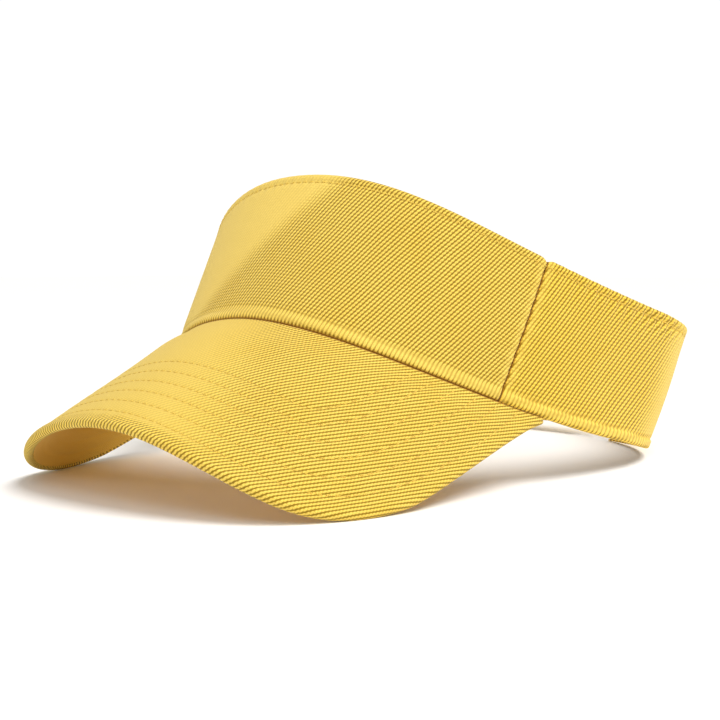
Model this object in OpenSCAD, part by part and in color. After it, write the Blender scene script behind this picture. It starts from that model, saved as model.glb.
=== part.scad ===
// Sun visor: a half-open cap band with a curved brim and a hook-and-loop closure at the back.
// Sizes are millimetres and degrees. The brim points to -Y, the wearer's left is +X, up is +Z.

/* [Band] */
// Half of the band's width from side to side at the reference height
half_width = 85.2; // [80:0.2:90]
// From the widest point forward to the front of the band
front_depth = 118.4; // [112:0.2:124]
// From the widest point back to the rear of the band
back_depth = 76; // [70:0.5:82]
// How square the band's oval is, 2 being an ellipse
oval_power = 2.1; // [2:0.02:2.3]
// How far the sides lean outward, from upright
side_flare = 7.7; // [4:0.1:11]
// How far the front leans back, from upright
front_lean = 21.6; // [17:0.1:26]
// How far the sides' plan shifts back as it rises
side_lean = 14.4; // [11:0.1:18]
// How far the rear leans back, from upright
rear_lean = 15.1; // [11:0.1:18]
// Height of the top edge at the front
front_height = 75; // [66:0.5:82]
// Height of the top edge at the sides and rear
side_height = 38.2; // [35:0.2:42]
// How tightly the tall front narrows toward the sides
crown_power = 3.9; // [3:0.1:5]
// How far the bottom edge drops below the reference at the rear
rear_drop = 6; // [4:0.5:8]
// Angle round the band of the front seam's foot
seam_foot = 58.2; // [54:0.2:62]
// Angle round the band of the front seam's top
seam_top = 56.4; // [54:0.2:62]

/* [Brim] */
// Height of the brim seam at the front of the band
join_height = 21.7; // [17:0.1:25]
// How steeply the brim slopes down
brim_pitch = 34.7; // [31:0.1:38]
// How much tighter the brim is rolled than the band's half width
brim_roll_less = 0.7; // [-3:0.1:2]
// How far the brim's half width, measured round its roll, goes past the band's half width
brim_spread = 19.3; // [18:0.1:22]
// Brim length from the band to its front edge
brim_length = 69; // [60:0.5:78]
// How far behind the band the brim outline's centre lies
outline_back = 175.6; // [160:0.2:190]
// How square the brim's outline is
outline_power = 4.65; // [4:0.05:5.2]
// Thickness of the brim board
board_t = 1.5; // [1.2:0.1:1.8]
// Distance between the brim's stitching rows
row_pitch = 6; // [4.5:0.1:6.5]
// Distance of the first stitching row from the brim's edge
row_first = 7; // [5:0.1:8]

/* [Cloth] */
// Thickness of the twill
cloth_t = 0.6; // [0.5:0.05:0.7]
// Thickness of the front's stiffener
stiff_t = 0.6; // [0.4:0.05:0.8]
// Thickness of the lining
lining_t = 0.5; // [0.4:0.05:0.6]
// Gap left between two layers
layer_gap = 0.05; // [0.03:0.01:0.08]
// Width of the turned-in hem at the top edge
hem_w = 11; // [8:0.5:13]
// Height of the sweatband
sweat_w = 27; // [22:0.5:28]
// Thickness of the sweatband at its middle
sweat_t = 2; // [1.5:0.1:2.5]
// Radius of the sewing thread
thread_r = 0.25; // [0.2:0.01:0.3]

/* [Closure] */
// Angle round the band where each side panel ends
panel_end = 152; // [150:0.5:154]
// Width of the straps
strap_w = 26; // [25:0.5:28]
// How far the straps' lower edge lies above the lowest point of the band's rear
strap_lift = 6; // [4:0.5:7]
// Thickness of the straps
strap_t = 1.6; // [1.2:0.1:1.8]
// Angle the outer strap runs past the middle of the back
outer_reach = 23; // [20:0.5:25]
// Angle the inner strap runs past the middle of the back
inner_reach = 16; // [13:0.5:17]
// Distance from the hook and loop patches' edges to the straps' edges
patch_margin = 2; // [1.5:0.25:4]
// Thickness of each hook or loop patch
patch_t = 0.8; // [0.6:0.05:1]
// Gap between the hook face and the loop face
patch_gap = 0.4; // [0.35:0.01:0.5]
// Gap at each strap's root, where the band ends
root_gap = 0.5; // [0.4:0.05:0.7]

/* [Hidden] */
$fn = 24;

// Layer faces, as distances out of the band's outer face.
front_stiff_out = -(cloth_t + layer_gap);
front_stiff_in = front_stiff_out - stiff_t;
front_lin_out = front_stiff_in - layer_gap;
front_lin_in = front_lin_out - lining_t;
front_fold_out = front_lin_in - layer_gap;
front_fold_in = front_fold_out - cloth_t;
side_lin_out = -(cloth_t + layer_gap);
side_lin_in = side_lin_out - lining_t;
side_fold_out = side_lin_in - layer_gap;
side_fold_in = side_fold_out - cloth_t;
sweat_end = panel_end - 6;

// Brim faces, as distances above the brim's middle surface.
board_low = -(board_t / 2);
board_high = board_t / 2;
top_low = board_high + layer_gap;
top_high = top_low + cloth_t;
under_high = board_low - layer_gap;
under_low = under_high - cloth_t;
edge_r = (top_high - under_low) / 2;
edge_mid = (top_high + under_low) / 2;
brim_radius = half_width - brim_roll_less;
brim_half_width = half_width + brim_spread;

function unit(v) = v / norm(v);
function smooth(t) = let (s = max(0, min(1, t))) s * s * (3 - 2 * s);
function mix(p, q, t) = p + (q - p) * t;
function span(lo, hi, n) = [for (i = [0:n]) lo + (hi - lo) * i / n];

// The band's outer face at an angle round it and a height.
function oval_x(th) = sign(sin(th)) * pow(abs(sin(th)), 2 / oval_power);
function oval_y(th) = sign(cos(th)) * pow(abs(cos(th)), 2 / oval_power);
function lean(c) = c > 0
    ? tan(side_lean) + (tan(front_lean) - tan(side_lean)) * c
    : tan(side_lean) - (tan(rear_lean) - tan(side_lean)) * c;
function wall(th, z) = let (c = oval_y(th), s = oval_x(th)) [
    s * (half_width + z * tan(side_flare)),
    -c * (c > 0 ? front_depth : back_depth) + z * lean(c),
    z];
function wall_n(th, z) = unit(cross(
    wall(th + 0.5, z) - wall(th - 0.5, z), wall(th, z + 1) - wall(th, z - 1)));
function skin(th, z, d) = wall(th, z) + d * wall_n(th, z);

// The brim's middle surface, rolled about a sloping line.
join_y = wall(0, join_height)[1];
brim_e = [0, -cos(brim_pitch), -sin(brim_pitch)];
brim_n = [0, -sin(brim_pitch), cos(brim_pitch)];
function roll_drop(x) = brim_radius - sqrt(max(1, pow(brim_radius, 2) - x * x));
function brim_z(x, y) = join_height
    + (sin(brim_pitch) * (y - join_y) - roll_drop(x)) / cos(brim_pitch);
function brim(u, v, o) = let (t = u / brim_radius * 180 / PI)
    [0, join_y, join_height] + v * brim_e
    + [(brim_radius + o) * sin(t), 0, 0] + ((brim_radius + o) * cos(t) - brim_radius) * brim_n;
function outline_v(u) = -outline_back + (brim_length + outline_back)
    * pow(max(0, 1 - pow(abs(u) / brim_half_width, outline_power)), 1 / outline_power);
function outline_n(u, v) = unit([
    sign(u) * pow(abs(u) / brim_half_width, outline_power - 1) / brim_half_width,
    pow((v + outline_back) / (brim_length + outline_back), outline_power - 1)
    / (brim_length + outline_back)]);

// Where the band's foot meets the brim.
function foot_on(th, z, n) = n == 0 ? z
    : let (p = wall(th, z)) foot_on(th, brim_z(p[0], p[1]), n - 1);
function brim_foot(th) = foot_on(th, 0, 6);
function foot_uv(th) = let (p = wall(th, brim_foot(th)))
    [brim_radius * asin(max(-1, min(1, p[0] / brim_radius))) * PI / 180,
     (p - [0, join_y, join_height]) * brim_e];
function wing_width(th) = let (q = foot_uv(th)) outline_v(q[0]) - q[1];
function wing_end(lo, hi, n) = n == 0 ? lo
    : let (m = (lo + hi) / 2)
      wing_width(m) > 4.5 ? wing_end(m, hi, n - 1) : wing_end(lo, m, n - 1);
join_end = wing_end(45, 80, 24);
end_z = brim_foot(join_end);
end_slope = (end_z - brim_foot(join_end - 1)) * (180 - join_end);
function foot(th) = abs(th) <= join_end ? brim_foot(abs(th))
    : let (t = (min(180, 180 - abs(180 - abs(th))) - join_end) / (180 - join_end))
      (2 * t * t * t - 3 * t * t + 1) * end_z + (t * t * t - 2 * t * t + t) * end_slope
      - (3 * t * t - 2 * t * t * t) * rear_drop;
strap_low = -rear_drop + strap_lift;
strap_high = strap_low + strap_w;
function crown(th) = side_height
    + (front_height - side_height) * pow((1 + cos(th)) / 2, crown_power);
function top(th) = mix(crown(th), strap_high + 2, smooth((abs(th) - panel_end + 15) / 15));
function seam(z, th0) = seam_foot + (seam_top - seam_foot) * (z - th0) / front_height;

// A sheet: rows of pairs of points, the first of each pair on its outer face.
module sheet(g) {
    ni = len(g);
    nk = len(g[0]);
    a = function (i, k) i * nk + k;
    b = function (i, k) ni * nk + i * nk + k;
    pts = concat([for (r = g) for (c = r) c[0]], [for (r = g) for (c = r) c[1]]);
    quads = concat(
        [for (i = [0:ni - 2], k = [0:nk - 2]) [a(i, k), a(i, k + 1), a(i + 1, k + 1), a(i + 1, k)]],
        [for (i = [0:ni - 2], k = [0:nk - 2]) [b(i, k), b(i + 1, k), b(i + 1, k + 1), b(i, k + 1)]],
        [for (i = [0:ni - 2]) [a(i, 0), a(i + 1, 0), b(i + 1, 0), b(i, 0)]],
        [for (i = [0:ni - 2]) [a(i + 1, nk - 1), a(i, nk - 1), b(i, nk - 1), b(i + 1, nk - 1)]],
        [for (k = [0:nk - 2]) [a(0, k + 1), a(0, k), b(0, k), b(0, k + 1)]],
        [for (k = [0:nk - 2]) [a(ni - 1, k), a(ni - 1, k + 1), b(ni - 1, k + 1), b(ni - 1, k)]]);
    polyhedron(pts, [for (q = quads) each [[q[0], q[1], q[2]], [q[0], q[2], q[3]]]], 10);
}

// A sewing thread laid along points that each carry the direction out of the cloth.
module thread(line) {
    n = len(line);
    ring = [for (i = [0:n - 1])
        let (t = unit(line[min(n - 1, i + 1)][0] - line[max(0, i - 1)][0]),
             out = line[i][1], side = unit(cross(t, out)))
        for (a = [90, 210, 330])
            line[i][0] + thread_r * (sin(a) * out + cos(a) * side + 1.6 * out)];
    polyhedron(ring, concat(
        [for (i = [0:n - 2], k = [0:2]) each [
            [i * 3 + k, i * 3 + (k + 1) % 3, i * 3 + 3 + (k + 1) % 3],
            [i * 3 + k, i * 3 + 3 + (k + 1) % 3, i * 3 + 3 + k]]],
        [[2, 1, 0], [n * 3 - 3, n * 3 - 2, n * 3 - 1]]), 10);
}

// Leaning it so that both brim wings and the rear of the band touch the floor.
rear_pts = [for (th = [120:4:panel_end]) skin(th, foot(th), 0)];
wing_pts = [for (th = [30:2:join_end]) each rim_pts(th, edge_r, [0, -30, -60])];
function turned_z(p, a) = -p[1] * sin(a) + p[2] * cos(a);
function turned_y(p, a) = p[1] * cos(a) + p[2] * sin(a);
function low_of(pts, a) = min([for (p = pts) turned_z(p, a)]);
function balance(lo, hi, n) = n == 0 ? lo
    : let (m = (lo + hi) / 2)
      low_of(rear_pts, m) > low_of(wing_pts, m) ? balance(m, hi, n - 1) : balance(lo, m, n - 1);
pose = balance(0, 25, 24);
floor_z = min(low_of(rear_pts, pose), low_of(wing_pts, pose));
patch_stack = 2 * patch_t + patch_gap + layer_gap;
strap_out = patch_stack + strap_t;
back_y = turned_y(skin(180, strap_high, strap_out), pose);
front_y = turned_y(brim(0, brim_length - edge_r, edge_mid), pose) - edge_r;
mid_y = (back_y + front_y) / 2;

module seated() {
    translate([0, -mid_y, -floor_z]) rotate([-pose, 0, 0]) children();
}

// One layer of the band between two angles, from the foot to a distance under the top.
function band_layer(ths, out, inn, low, high, n) = [for (th = ths)
    let (z0 = foot(th) + low, z1 = top(th) - high)
    [for (k = [0:n]) let (z = mix(z0, z1, k / n)) [skin(th, z, out), skin(th, z, inn)]]];

// An outer panel that goes up, over the top edge and down inside as a hem.
function panel_row(th_at, inn, fold) =
    let (r = -inn / 2, th0 = th_at(0), z1 = top(th0), z0 = foot(th0),
         w = max(1.5, min(hem_w, z1 - z0 - sweat_w - 1.5)))
    concat(
        [for (k = [0:6]) let (z = mix(z0, z1 - r, k / 6), th = th_at(z))
            [skin(th, z, 0), skin(th, z, -cloth_t)]],
        [for (s = [36:36:144]) let (th = th_at(z1))
            [skin(th, z1 - r + r * sin(s), r * cos(s) - r),
             skin(th, z1 - r + (r - cloth_t) * sin(s), (r - cloth_t) * cos(s) - r)]],
        [for (z = [z1 - r, z1 - r - w]) let (th = th_at(z)) [skin(th, z, inn), skin(th, z, fold)]]);
function seam_at(side, z) = side * mix(seam_foot, seam_top, z / front_height);
seam_slit = 0.06;

module front_panel() {
    color([0.86, 0.66, 0.2]) seated() sheet([for (f = span(-1, 1, 44))
        panel_row(function (z) f * (seam_at(1, z) - seam_slit), front_fold_in, front_fold_out)]);
}

module side_panel(side) {
    fs = side > 0 ? span(0, 1, 30) : span(1, 0, 30);
    color([0.86, 0.66, 0.2]) seated() sheet([for (f = fs)
        panel_row(function (z) side * mix(seam_at(1, z) + seam_slit, panel_end, f),
                  side_fold_in, side_fold_out)]);
}

module left_side_panel() {
    side_panel(1);
}

module right_side_panel() {
    side_panel(-1);
}

front_ths = span(-min(seam_foot, seam_top) + 0.6, min(seam_foot, seam_top) - 0.6, 44);
side_ths = span(max(seam_foot, seam_top) + 1, panel_end - 0.3, 28);

module front_stiffener() {
    color([0.93, 0.92, 0.88]) seated()
        sheet(band_layer(front_ths, front_stiff_out, front_stiff_in, 1.5, 2, 4));
}

module front_lining() {
    color([0.9, 0.74, 0.34]) seated()
        sheet(band_layer(front_ths, front_lin_out, front_lin_in, 0.5, 2, 4));
}

module left_side_lining() {
    color([0.9, 0.74, 0.34]) seated()
        sheet(band_layer(side_ths, side_lin_out, side_lin_in, 0.5, 1.6, 3));
}

module right_side_lining() {
    color([0.9, 0.74, 0.34]) seated()
        sheet(band_layer([for (i = [28:-1:0]) -side_ths[i]], side_lin_out, side_lin_in, 0.5, 1.6, 3));
}

// The sweatband's outer face rests on the front lining, then on the thinner side stack.
function sweat_face(th) = mix(front_lin_in, side_lin_in,
    smooth((abs(th) - max(seam_foot, seam_top) - 1) / 4)) - layer_gap;
function sweat_row(th) = [for (k = [0:5])
    let (z = foot(th) + 0.8 + (sweat_w - 1) * k / 5, d = sweat_face(th),
         t = mix(0.7, sweat_t, pow(sin(180 * k / 5), 0.6)))
    [skin(th, z, d), skin(th, z, d - t)]];

module sweatband() {
    color([0.85, 0.68, 0.28]) seated()
        sheet([for (th = span(-sweat_end, sweat_end, 76)) sweat_row(th)]);
}

module sweatband_stitching() {
    color([0.8, 0.58, 0.14]) seated() thread([for (th = span(-sweat_end + 2, sweat_end - 2, 76))
        let (z = foot(th) + 0.8 + (sweat_w - 1) * 0.86, d = sweat_face(th) - sweat_t)
        [skin(th, z, d), -wall_n(th, z)]]);
}

// Brim columns: from the band's foot out to the outline, sinking a little at the seam.
brim_ths = [for (f = span(-1, 1, 46)) join_end * sin(90 * f) * 0.35 + join_end * f * 0.65];
function sink(dist) = -top_high * (1 - smooth(dist / 14));
function brim_at(u, v, dist, o) = brim(u, v, o + sink(dist));
brim_rows = 7;
flat_inset = edge_r + 0.3;
seam_room = 0.25;
function brim_col(th, o_list) =
    let (q = foot_uv(th), e = [q[0], outline_v(q[0])], c = e - flat_inset * outline_n(e[0], e[1]),
         first = seam_room / norm(c - q))
    [for (k = [0:brim_rows]) let (p = mix(q, c, mix(first, 1, pow(k / brim_rows, 0.9))))
        [for (o = o_list) brim_at(p[0], p[1], norm(p - q), o)]];
function rim_pts(th, r, steps) =
    let (q = foot_uv(th), e = [q[0], outline_v(q[0])], out = outline_n(e[0], e[1]),
         c = e - edge_r * out)
    [for (s = steps) let (p = c + r * cos(s) * out)
        brim_at(p[0], p[1], norm(c - q), edge_mid + r * sin(s))];

module brim_top_cover() {
    steps = [60, 30, 0, -30, -60, -90];
    color([0.9, 0.72, 0.24]) seated() sheet([for (th = brim_ths)
        let (a = rim_pts(th, edge_r - cloth_t, steps), b = rim_pts(th, edge_r, steps))
        concat(brim_col(th, [top_low, top_high]),
               [for (i = [0:5]) [a[i], b[i]]])]);
}

module brim_board() {
    color([0.95, 0.95, 0.94]) seated() sheet([for (th = brim_ths)
        brim_col(th, [board_low, board_high])]);
}

module brim_bottom_cover() {
    color([0.86, 0.67, 0.2]) seated() sheet([for (th = brim_ths)
        brim_col(th, [under_low, under_high])]);
}

// The turned seam allowance that fills the wedge between the band's foot and the brim.
module brim_seam_tape() {
    color([0.92, 0.9, 0.84]) seated() sheet([for (th = span(-join_end + 1, join_end - 1, 44))
        let (z = foot(th), c = wall(th, z), n1 = -wall_n(th, z), q = foot_uv(th),
             t = q[0] / brim_radius * 180 / PI, n2 = -([sin(t), 0, 0] + cos(t) * brim_n))
        [for (r = [2.4, 1.4, 0.5])
            [c + r * unit(mix(n1, n2, 0.78)), c + r * unit(mix(n1, n2, 0.22))]]]);
}

// Stitching rows, each a fixed distance in from the outline, ending at the band.
join_v = [for (th = span(0, join_end, 40)) foot_uv(th)];
function row_uv(t, off) = let (
    u = brim_half_width * sign(t) * pow(sin(abs(t)), 2 / outline_power),
    v = -outline_back + (brim_length + outline_back) * pow(cos(t), 2 / outline_power))
    [u, v] - off * outline_n(u, v);
function thread_room(dist) = 0.1 + 0.3 * (1 - smooth(dist / 20));
function row_clear(t, off) = let (p = row_uv(t, off)) p[1] - lookup(abs(p[0]), join_v);
function row_stop(lo, hi, off, n) = n == 0 ? lo
    : let (m = (lo + hi) / 2)
      row_clear(m, off) > 2 && row_uv(m, off)[0] < join_v[40][0]
      ? row_stop(m, hi, off, n - 1) : row_stop(lo, m, off, n - 1);

module stitch_row(i) {
    off = row_first + (i - 1) * row_pitch;
    stop = row_stop(0, 89.9, off, 20);
    color([0.83, 0.62, 0.16]) seated() thread([for (f = span(-1, 1, 52))
        let (t = stop * sign(f) * pow(abs(f), outline_power / 2), p = row_uv(t, off),
             dist = p[1] - lookup(abs(p[0]), join_v), a = p[0] / brim_radius * 180 / PI)
        [brim_at(p[0], p[1], dist, top_high + thread_room(dist)), [sin(a), 0, 0] + cos(a) * brim_n]]);
}

module brim_stitch_row_1() {
    stitch_row(1);
}

module brim_stitch_row_2() {
    stitch_row(2);
}

module brim_stitch_row_3() {
    stitch_row(3);
}

module brim_stitch_row_4() {
    stitch_row(4);
}

module brim_stitch_row_5() {
    stitch_row(5);
}

module brim_stitch_row_6() {
    stitch_row(6);
}

module top_edge_stitching() {
    color([0.83, 0.62, 0.16]) seated() thread([for (th = span(-panel_end + 2, panel_end - 2, 96))
        let (z = top(th) - 3.2) [skin(th, z, 0), wall_n(th, z)]]);
}

// Straps: each runs from its panel's end past the middle of the back.
root_deg = root_gap * 180 / PI / back_depth;
outer_end = 180 + outer_reach;
inner_end = 180 + inner_reach;
function outer_mid(th) = mix(-strap_t / 2 - 0.05, patch_stack + strap_t / 2,
    smooth((th - panel_end - 1) / 10));
function inner_mid(th) = -strap_t / 2 - layer_gap;
function round_off(th, end, r) =
    let (s = max(0, min(r, (end - th) * PI / 180 * back_depth)))
    strap_w / 2 - r + sqrt(max(0, r * r - (r - s) * (r - s)));
strap_mid = (strap_low + strap_high) / 2;
patch_w = strap_w - 2 * patch_margin;

function strap_rows(end, mid_at, n) = [for (f = span(0, 1, n))
    let (th = mix(panel_end + root_deg, end, 1 - pow(1 - f, 1.4)), h = round_off(th, end, 7),
         m = mid_at(th))
    [for (k = [-1, -0.5, 0, 0.5, 1]) let (z = strap_mid + k * h)
        [skin(th, z, m + strap_t / 2), skin(th, z, m - strap_t / 2)]]];

function patch_rows(lo, hi, d_out, d_in, n) = [for (th = span(lo, hi, n))
    [for (k = [-1, 0, 1]) let (z = strap_mid + k * patch_w / 2)
        [skin(th, z, d_out), skin(th, z, d_in)]]];

module mirrored() {
    mirror([1, 0, 0]) children();
}

module outer_strap() {
    color([0.86, 0.66, 0.2]) seated()
        sheet(strap_rows(outer_end, function (th) outer_mid(th), 22));
}

module hook_patch() {
    color([0.78, 0.58, 0.2]) seated() sheet(patch_rows(outer_end - 25, outer_end - 3,
        patch_stack - layer_gap, patch_t + patch_gap, 10));
}

module inner_strap() {
    color([0.86, 0.66, 0.2]) seated() mirrored()
        sheet(strap_rows(inner_end, function (th) inner_mid(th), 20));
}

module loop_patch() {
    color([0.82, 0.64, 0.26]) seated() mirrored()
        sheet(patch_rows(panel_end + 5, inner_end - 3, patch_t, 0, 14));
}

function stitch_box(lo, hi, half, d, way) = concat(
    [for (th = span(lo, hi, 12)) [th, strap_mid - half, d, way]],
    [[hi, strap_mid, d, way]],
    [for (th = span(hi, lo, 12)) [th, strap_mid + half, d, way]],
    [[lo, strap_mid, d, way]]);
function on_skin(q) = [for (p = q) [skin(p[0], p[1], p[2]), p[3] * wall_n(p[0], p[1])]];

module outer_strap_stitching() {
    color([0.8, 0.58, 0.14]) seated() thread(on_skin(stitch_box(outer_end - 24.3, outer_end - 3.7,
        patch_w / 2 - 1.2, strap_out, 1)));
}

module inner_strap_stitching() {
    color([0.8, 0.58, 0.14]) seated() mirrored() thread(on_skin(stitch_box(panel_end + 5.8,
        inner_end - 3.8, patch_w / 2 - 1.2, -strap_t - layer_gap, -1)));
}

front_panel();
left_side_panel();
right_side_panel();
front_stiffener();
front_lining();
left_side_lining();
right_side_lining();
sweatband();
brim_top_cover();
brim_board();
brim_bottom_cover();
brim_seam_tape();
brim_stitch_row_1();
brim_stitch_row_2();
brim_stitch_row_3();
brim_stitch_row_4();
brim_stitch_row_5();
brim_stitch_row_6();
top_edge_stitching();
sweatband_stitching();
outer_strap();
outer_strap_stitching();
hook_patch();
inner_strap();
inner_strap_stitching();
loop_patch();
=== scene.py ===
"""A mustard twill sun visor: tall front band, side panels, stitched brim and back closure.

Sizes are millimetres and degrees while a shape is worked out, and metres once it is a mesh.
The brim points to -Y, the wearer's left is +X and up is +Z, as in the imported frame.
"""
import logging
import math
from dataclasses import dataclass, field
from enum import Enum

import bpy
import numpy as np
from mathutils import Matrix, Vector


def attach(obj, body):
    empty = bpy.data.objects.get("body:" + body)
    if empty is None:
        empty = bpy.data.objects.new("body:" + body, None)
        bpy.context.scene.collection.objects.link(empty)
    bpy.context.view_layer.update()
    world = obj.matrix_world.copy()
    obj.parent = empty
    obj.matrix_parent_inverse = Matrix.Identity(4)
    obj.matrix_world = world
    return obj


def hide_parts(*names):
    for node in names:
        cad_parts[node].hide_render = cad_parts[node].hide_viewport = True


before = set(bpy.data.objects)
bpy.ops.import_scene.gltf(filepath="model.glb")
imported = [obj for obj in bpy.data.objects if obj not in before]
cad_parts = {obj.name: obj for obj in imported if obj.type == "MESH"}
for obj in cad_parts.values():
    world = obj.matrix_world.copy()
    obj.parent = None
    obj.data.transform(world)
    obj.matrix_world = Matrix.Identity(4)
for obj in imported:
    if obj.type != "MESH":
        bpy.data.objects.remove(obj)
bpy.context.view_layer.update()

LOG = logging.getLogger("visor")
MM = 0.001
TAU = 2.0 * math.pi


# ---------------------------------------------------------------- shader helpers


class Sock:
    """One shader output, with operators that add Math nodes."""

    def __init__(self, shader: "Shader", out: bpy.types.NodeSocket) -> None:
        """Keeps the output and the shader that it belongs to."""
        self.shader = shader
        self.out = out

    def math(self, operation: str, *others: "Sock | float") -> "Sock":
        """Adds a Math node with this value first.

        Args:
            operation: the Math node's operation.
            others: the other inputs, in order.

        Returns:
            The node's value.
        """
        values = {0: self} | {i + 1: v for i, v in enumerate(others)}
        return self.shader.node("ShaderNodeMath", {"operation": operation}, values)

    def flipped(self, operation: str, first: float) -> "Sock":
        """Adds a Math node with a number first and this value second."""
        return self.shader.node("ShaderNodeMath", {"operation": operation}, {0: first, 1: self})

    def __add__(self, other: "Sock | float") -> "Sock":
        """Adds."""
        return self.math("ADD", other)

    def __radd__(self, other: float) -> "Sock":
        """Adds a number on the left."""
        return self.flipped("ADD", other)

    def __sub__(self, other: "Sock | float") -> "Sock":
        """Subtracts."""
        return self.math("SUBTRACT", other)

    def __rsub__(self, other: float) -> "Sock":
        """Subtracts from a number."""
        return self.flipped("SUBTRACT", other)

    def __mul__(self, other: "Sock | float") -> "Sock":
        """Multiplies."""
        return self.math("MULTIPLY", other)

    def __rmul__(self, other: float) -> "Sock":
        """Multiplies a number."""
        return self.flipped("MULTIPLY", other)

    def __truediv__(self, other: "Sock | float") -> "Sock":
        """Divides."""
        return self.math("DIVIDE", other)

    def wave(self) -> "Sock":
        """A cosine from 0 to 1 that repeats once for each whole number."""
        return (self * TAU).math("COSINE") * 0.5 + 0.5

    def power(self, exponent: float) -> "Sock":
        """Raises to a power."""
        return self.math("POWER", exponent)

    def step(self, low: float, high: float) -> "Sock":
        """Eases from 0 at low to 1 at high.

        Args:
            low: where it is still 0.
            high: where it has reached 1.

        Returns:
            The eased value.
        """
        return self.shader.node(
            "ShaderNodeMapRange",
            {"interpolation_type": "SMOOTHSTEP"},
            {"Value": self, "From Min": low, "From Max": high},
        )


class Shader:
    """One material's node tree and its surface shader."""

    def __init__(self, name: str) -> None:
        """Makes an empty material with a Principled surface.

        Args:
            name: the material's name.
        """
        self.material = bpy.data.materials.new(name)
        self.material.use_nodes = True
        self.tree = self.material.node_tree
        self.surface = self.tree.nodes["Principled BSDF"]

    def node(self, kind: str, settings: dict, values: dict, out: "str | int" = 0) -> Sock:
        """Adds any node.

        Args:
            kind: the node's type.
            settings: properties to set first; "stops" holds a ramp's positions and colours.
            values: a number, colour or Sock for each socket, by name or by place.
            out: the output to give back.

        Returns:
            The chosen output.
        """
        made = self.tree.nodes.new(kind)
        for key, value in settings.items():
            if key == "stops":
                ramp = made.color_ramp
                while len(ramp.elements) < len(value):
                    ramp.elements.new(0.5)
                for element, (place, colour) in zip(ramp.elements, value, strict=True):
                    element.position = place
                    element.color = (*colour, 1.0)
            else:
                setattr(made, key, value)
        for key, value in values.items():
            socket = made.inputs[key]
            if isinstance(value, Sock):
                self.tree.links.new(value.out, socket)
            elif isinstance(value, tuple) and len(value) == 3 and socket.type == "RGBA":
                socket.default_value = (*value, 1.0)
            else:
                socket.default_value = value
        return Sock(self, made.outputs[out])

    def mix(self, factor: "Sock | float", low: "Sock | tuple", high: "Sock | tuple") -> Sock:
        """Mixes two colours.

        Args:
            factor: 0 for the first colour, 1 for the second.
            low: the first colour.
            high: the second colour.

        Returns:
            The mixed colour.
        """
        return self.node(
            "ShaderNodeMix", {"data_type": "RGBA", "blend_type": "MIX"}, {0: factor, 6: low, 7: high}, 2
        )

    def shade(self, colour: "Sock | tuple", amount: Sock) -> Sock:
        """Darkens or lightens a colour by a number near 1.

        Args:
            colour: the colour.
            amount: what it is multiplied by.

        Returns:
            The shaded colour.
        """
        grey = self.node("ShaderNodeCombineXYZ", {}, {0: amount, 1: amount, 2: amount})
        return self.node(
            "ShaderNodeMix", {"data_type": "RGBA", "blend_type": "MULTIPLY"}, {0: 1.0, 6: colour, 7: grey}, 2
        )

    def cloth(self) -> tuple[Sock, Sock, Sock]:
        """The place on the cut cloth in millimetres: along it, up it, and a mask of painted light and wear.

        Returns:
            Along the cloth, up the cloth, and the mask.
        """
        where = self.node("ShaderNodeAttribute", {"attribute_name": "cloth"}, {}, "Vector")
        parts = self.node("ShaderNodeSeparateXYZ", {}, {0: where})
        node = parts.out.node
        return tuple(Sock(self, node.outputs[i]) for i in range(3))

    def flat_point(self, x: "Sock | float", y: "Sock | float") -> Sock:
        """A point from two numbers, to look up a noise at."""
        return self.node("ShaderNodeCombineXYZ", {}, {0: x, 1: y})

    def noise(self, point: Sock, scale: float, detail: float = 2.0) -> Sock:
        """Smooth noise from 0 to 1.

        Args:
            point: where to look it up.
            scale: how fine it is.
            detail: how many finer layers it adds.

        Returns:
            The noise.
        """
        return self.node(
            "ShaderNodeTexNoise", {}, {"Vector": point, "Scale": scale, "Detail": detail}, "Fac"
        )

    def link(self, socket: str, value: Sock) -> None:
        """Feeds one of the surface's sockets."""
        self.tree.links.new(value.out, self.surface.inputs[socket])

    def set(self, **values: "float | tuple") -> None:
        """Sets constants on the surface, with _ for a space in the socket's name."""
        for key, value in values.items():
            self.surface.inputs[key.replace("_", " ")].default_value = value

    def bump(self, height: Sock, depth: float) -> None:
        """Bumps the surface by a height from 0 to 1.

        Args:
            height: the height.
            depth: how many metres a height of 1 stands.
        """
        normal = self.node("ShaderNodeBump", {}, {"Height": height, "Distance": depth, "Strength": 1.0})
        self.link("Normal", normal)


# ---------------------------------------------------------------- finishes


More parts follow.
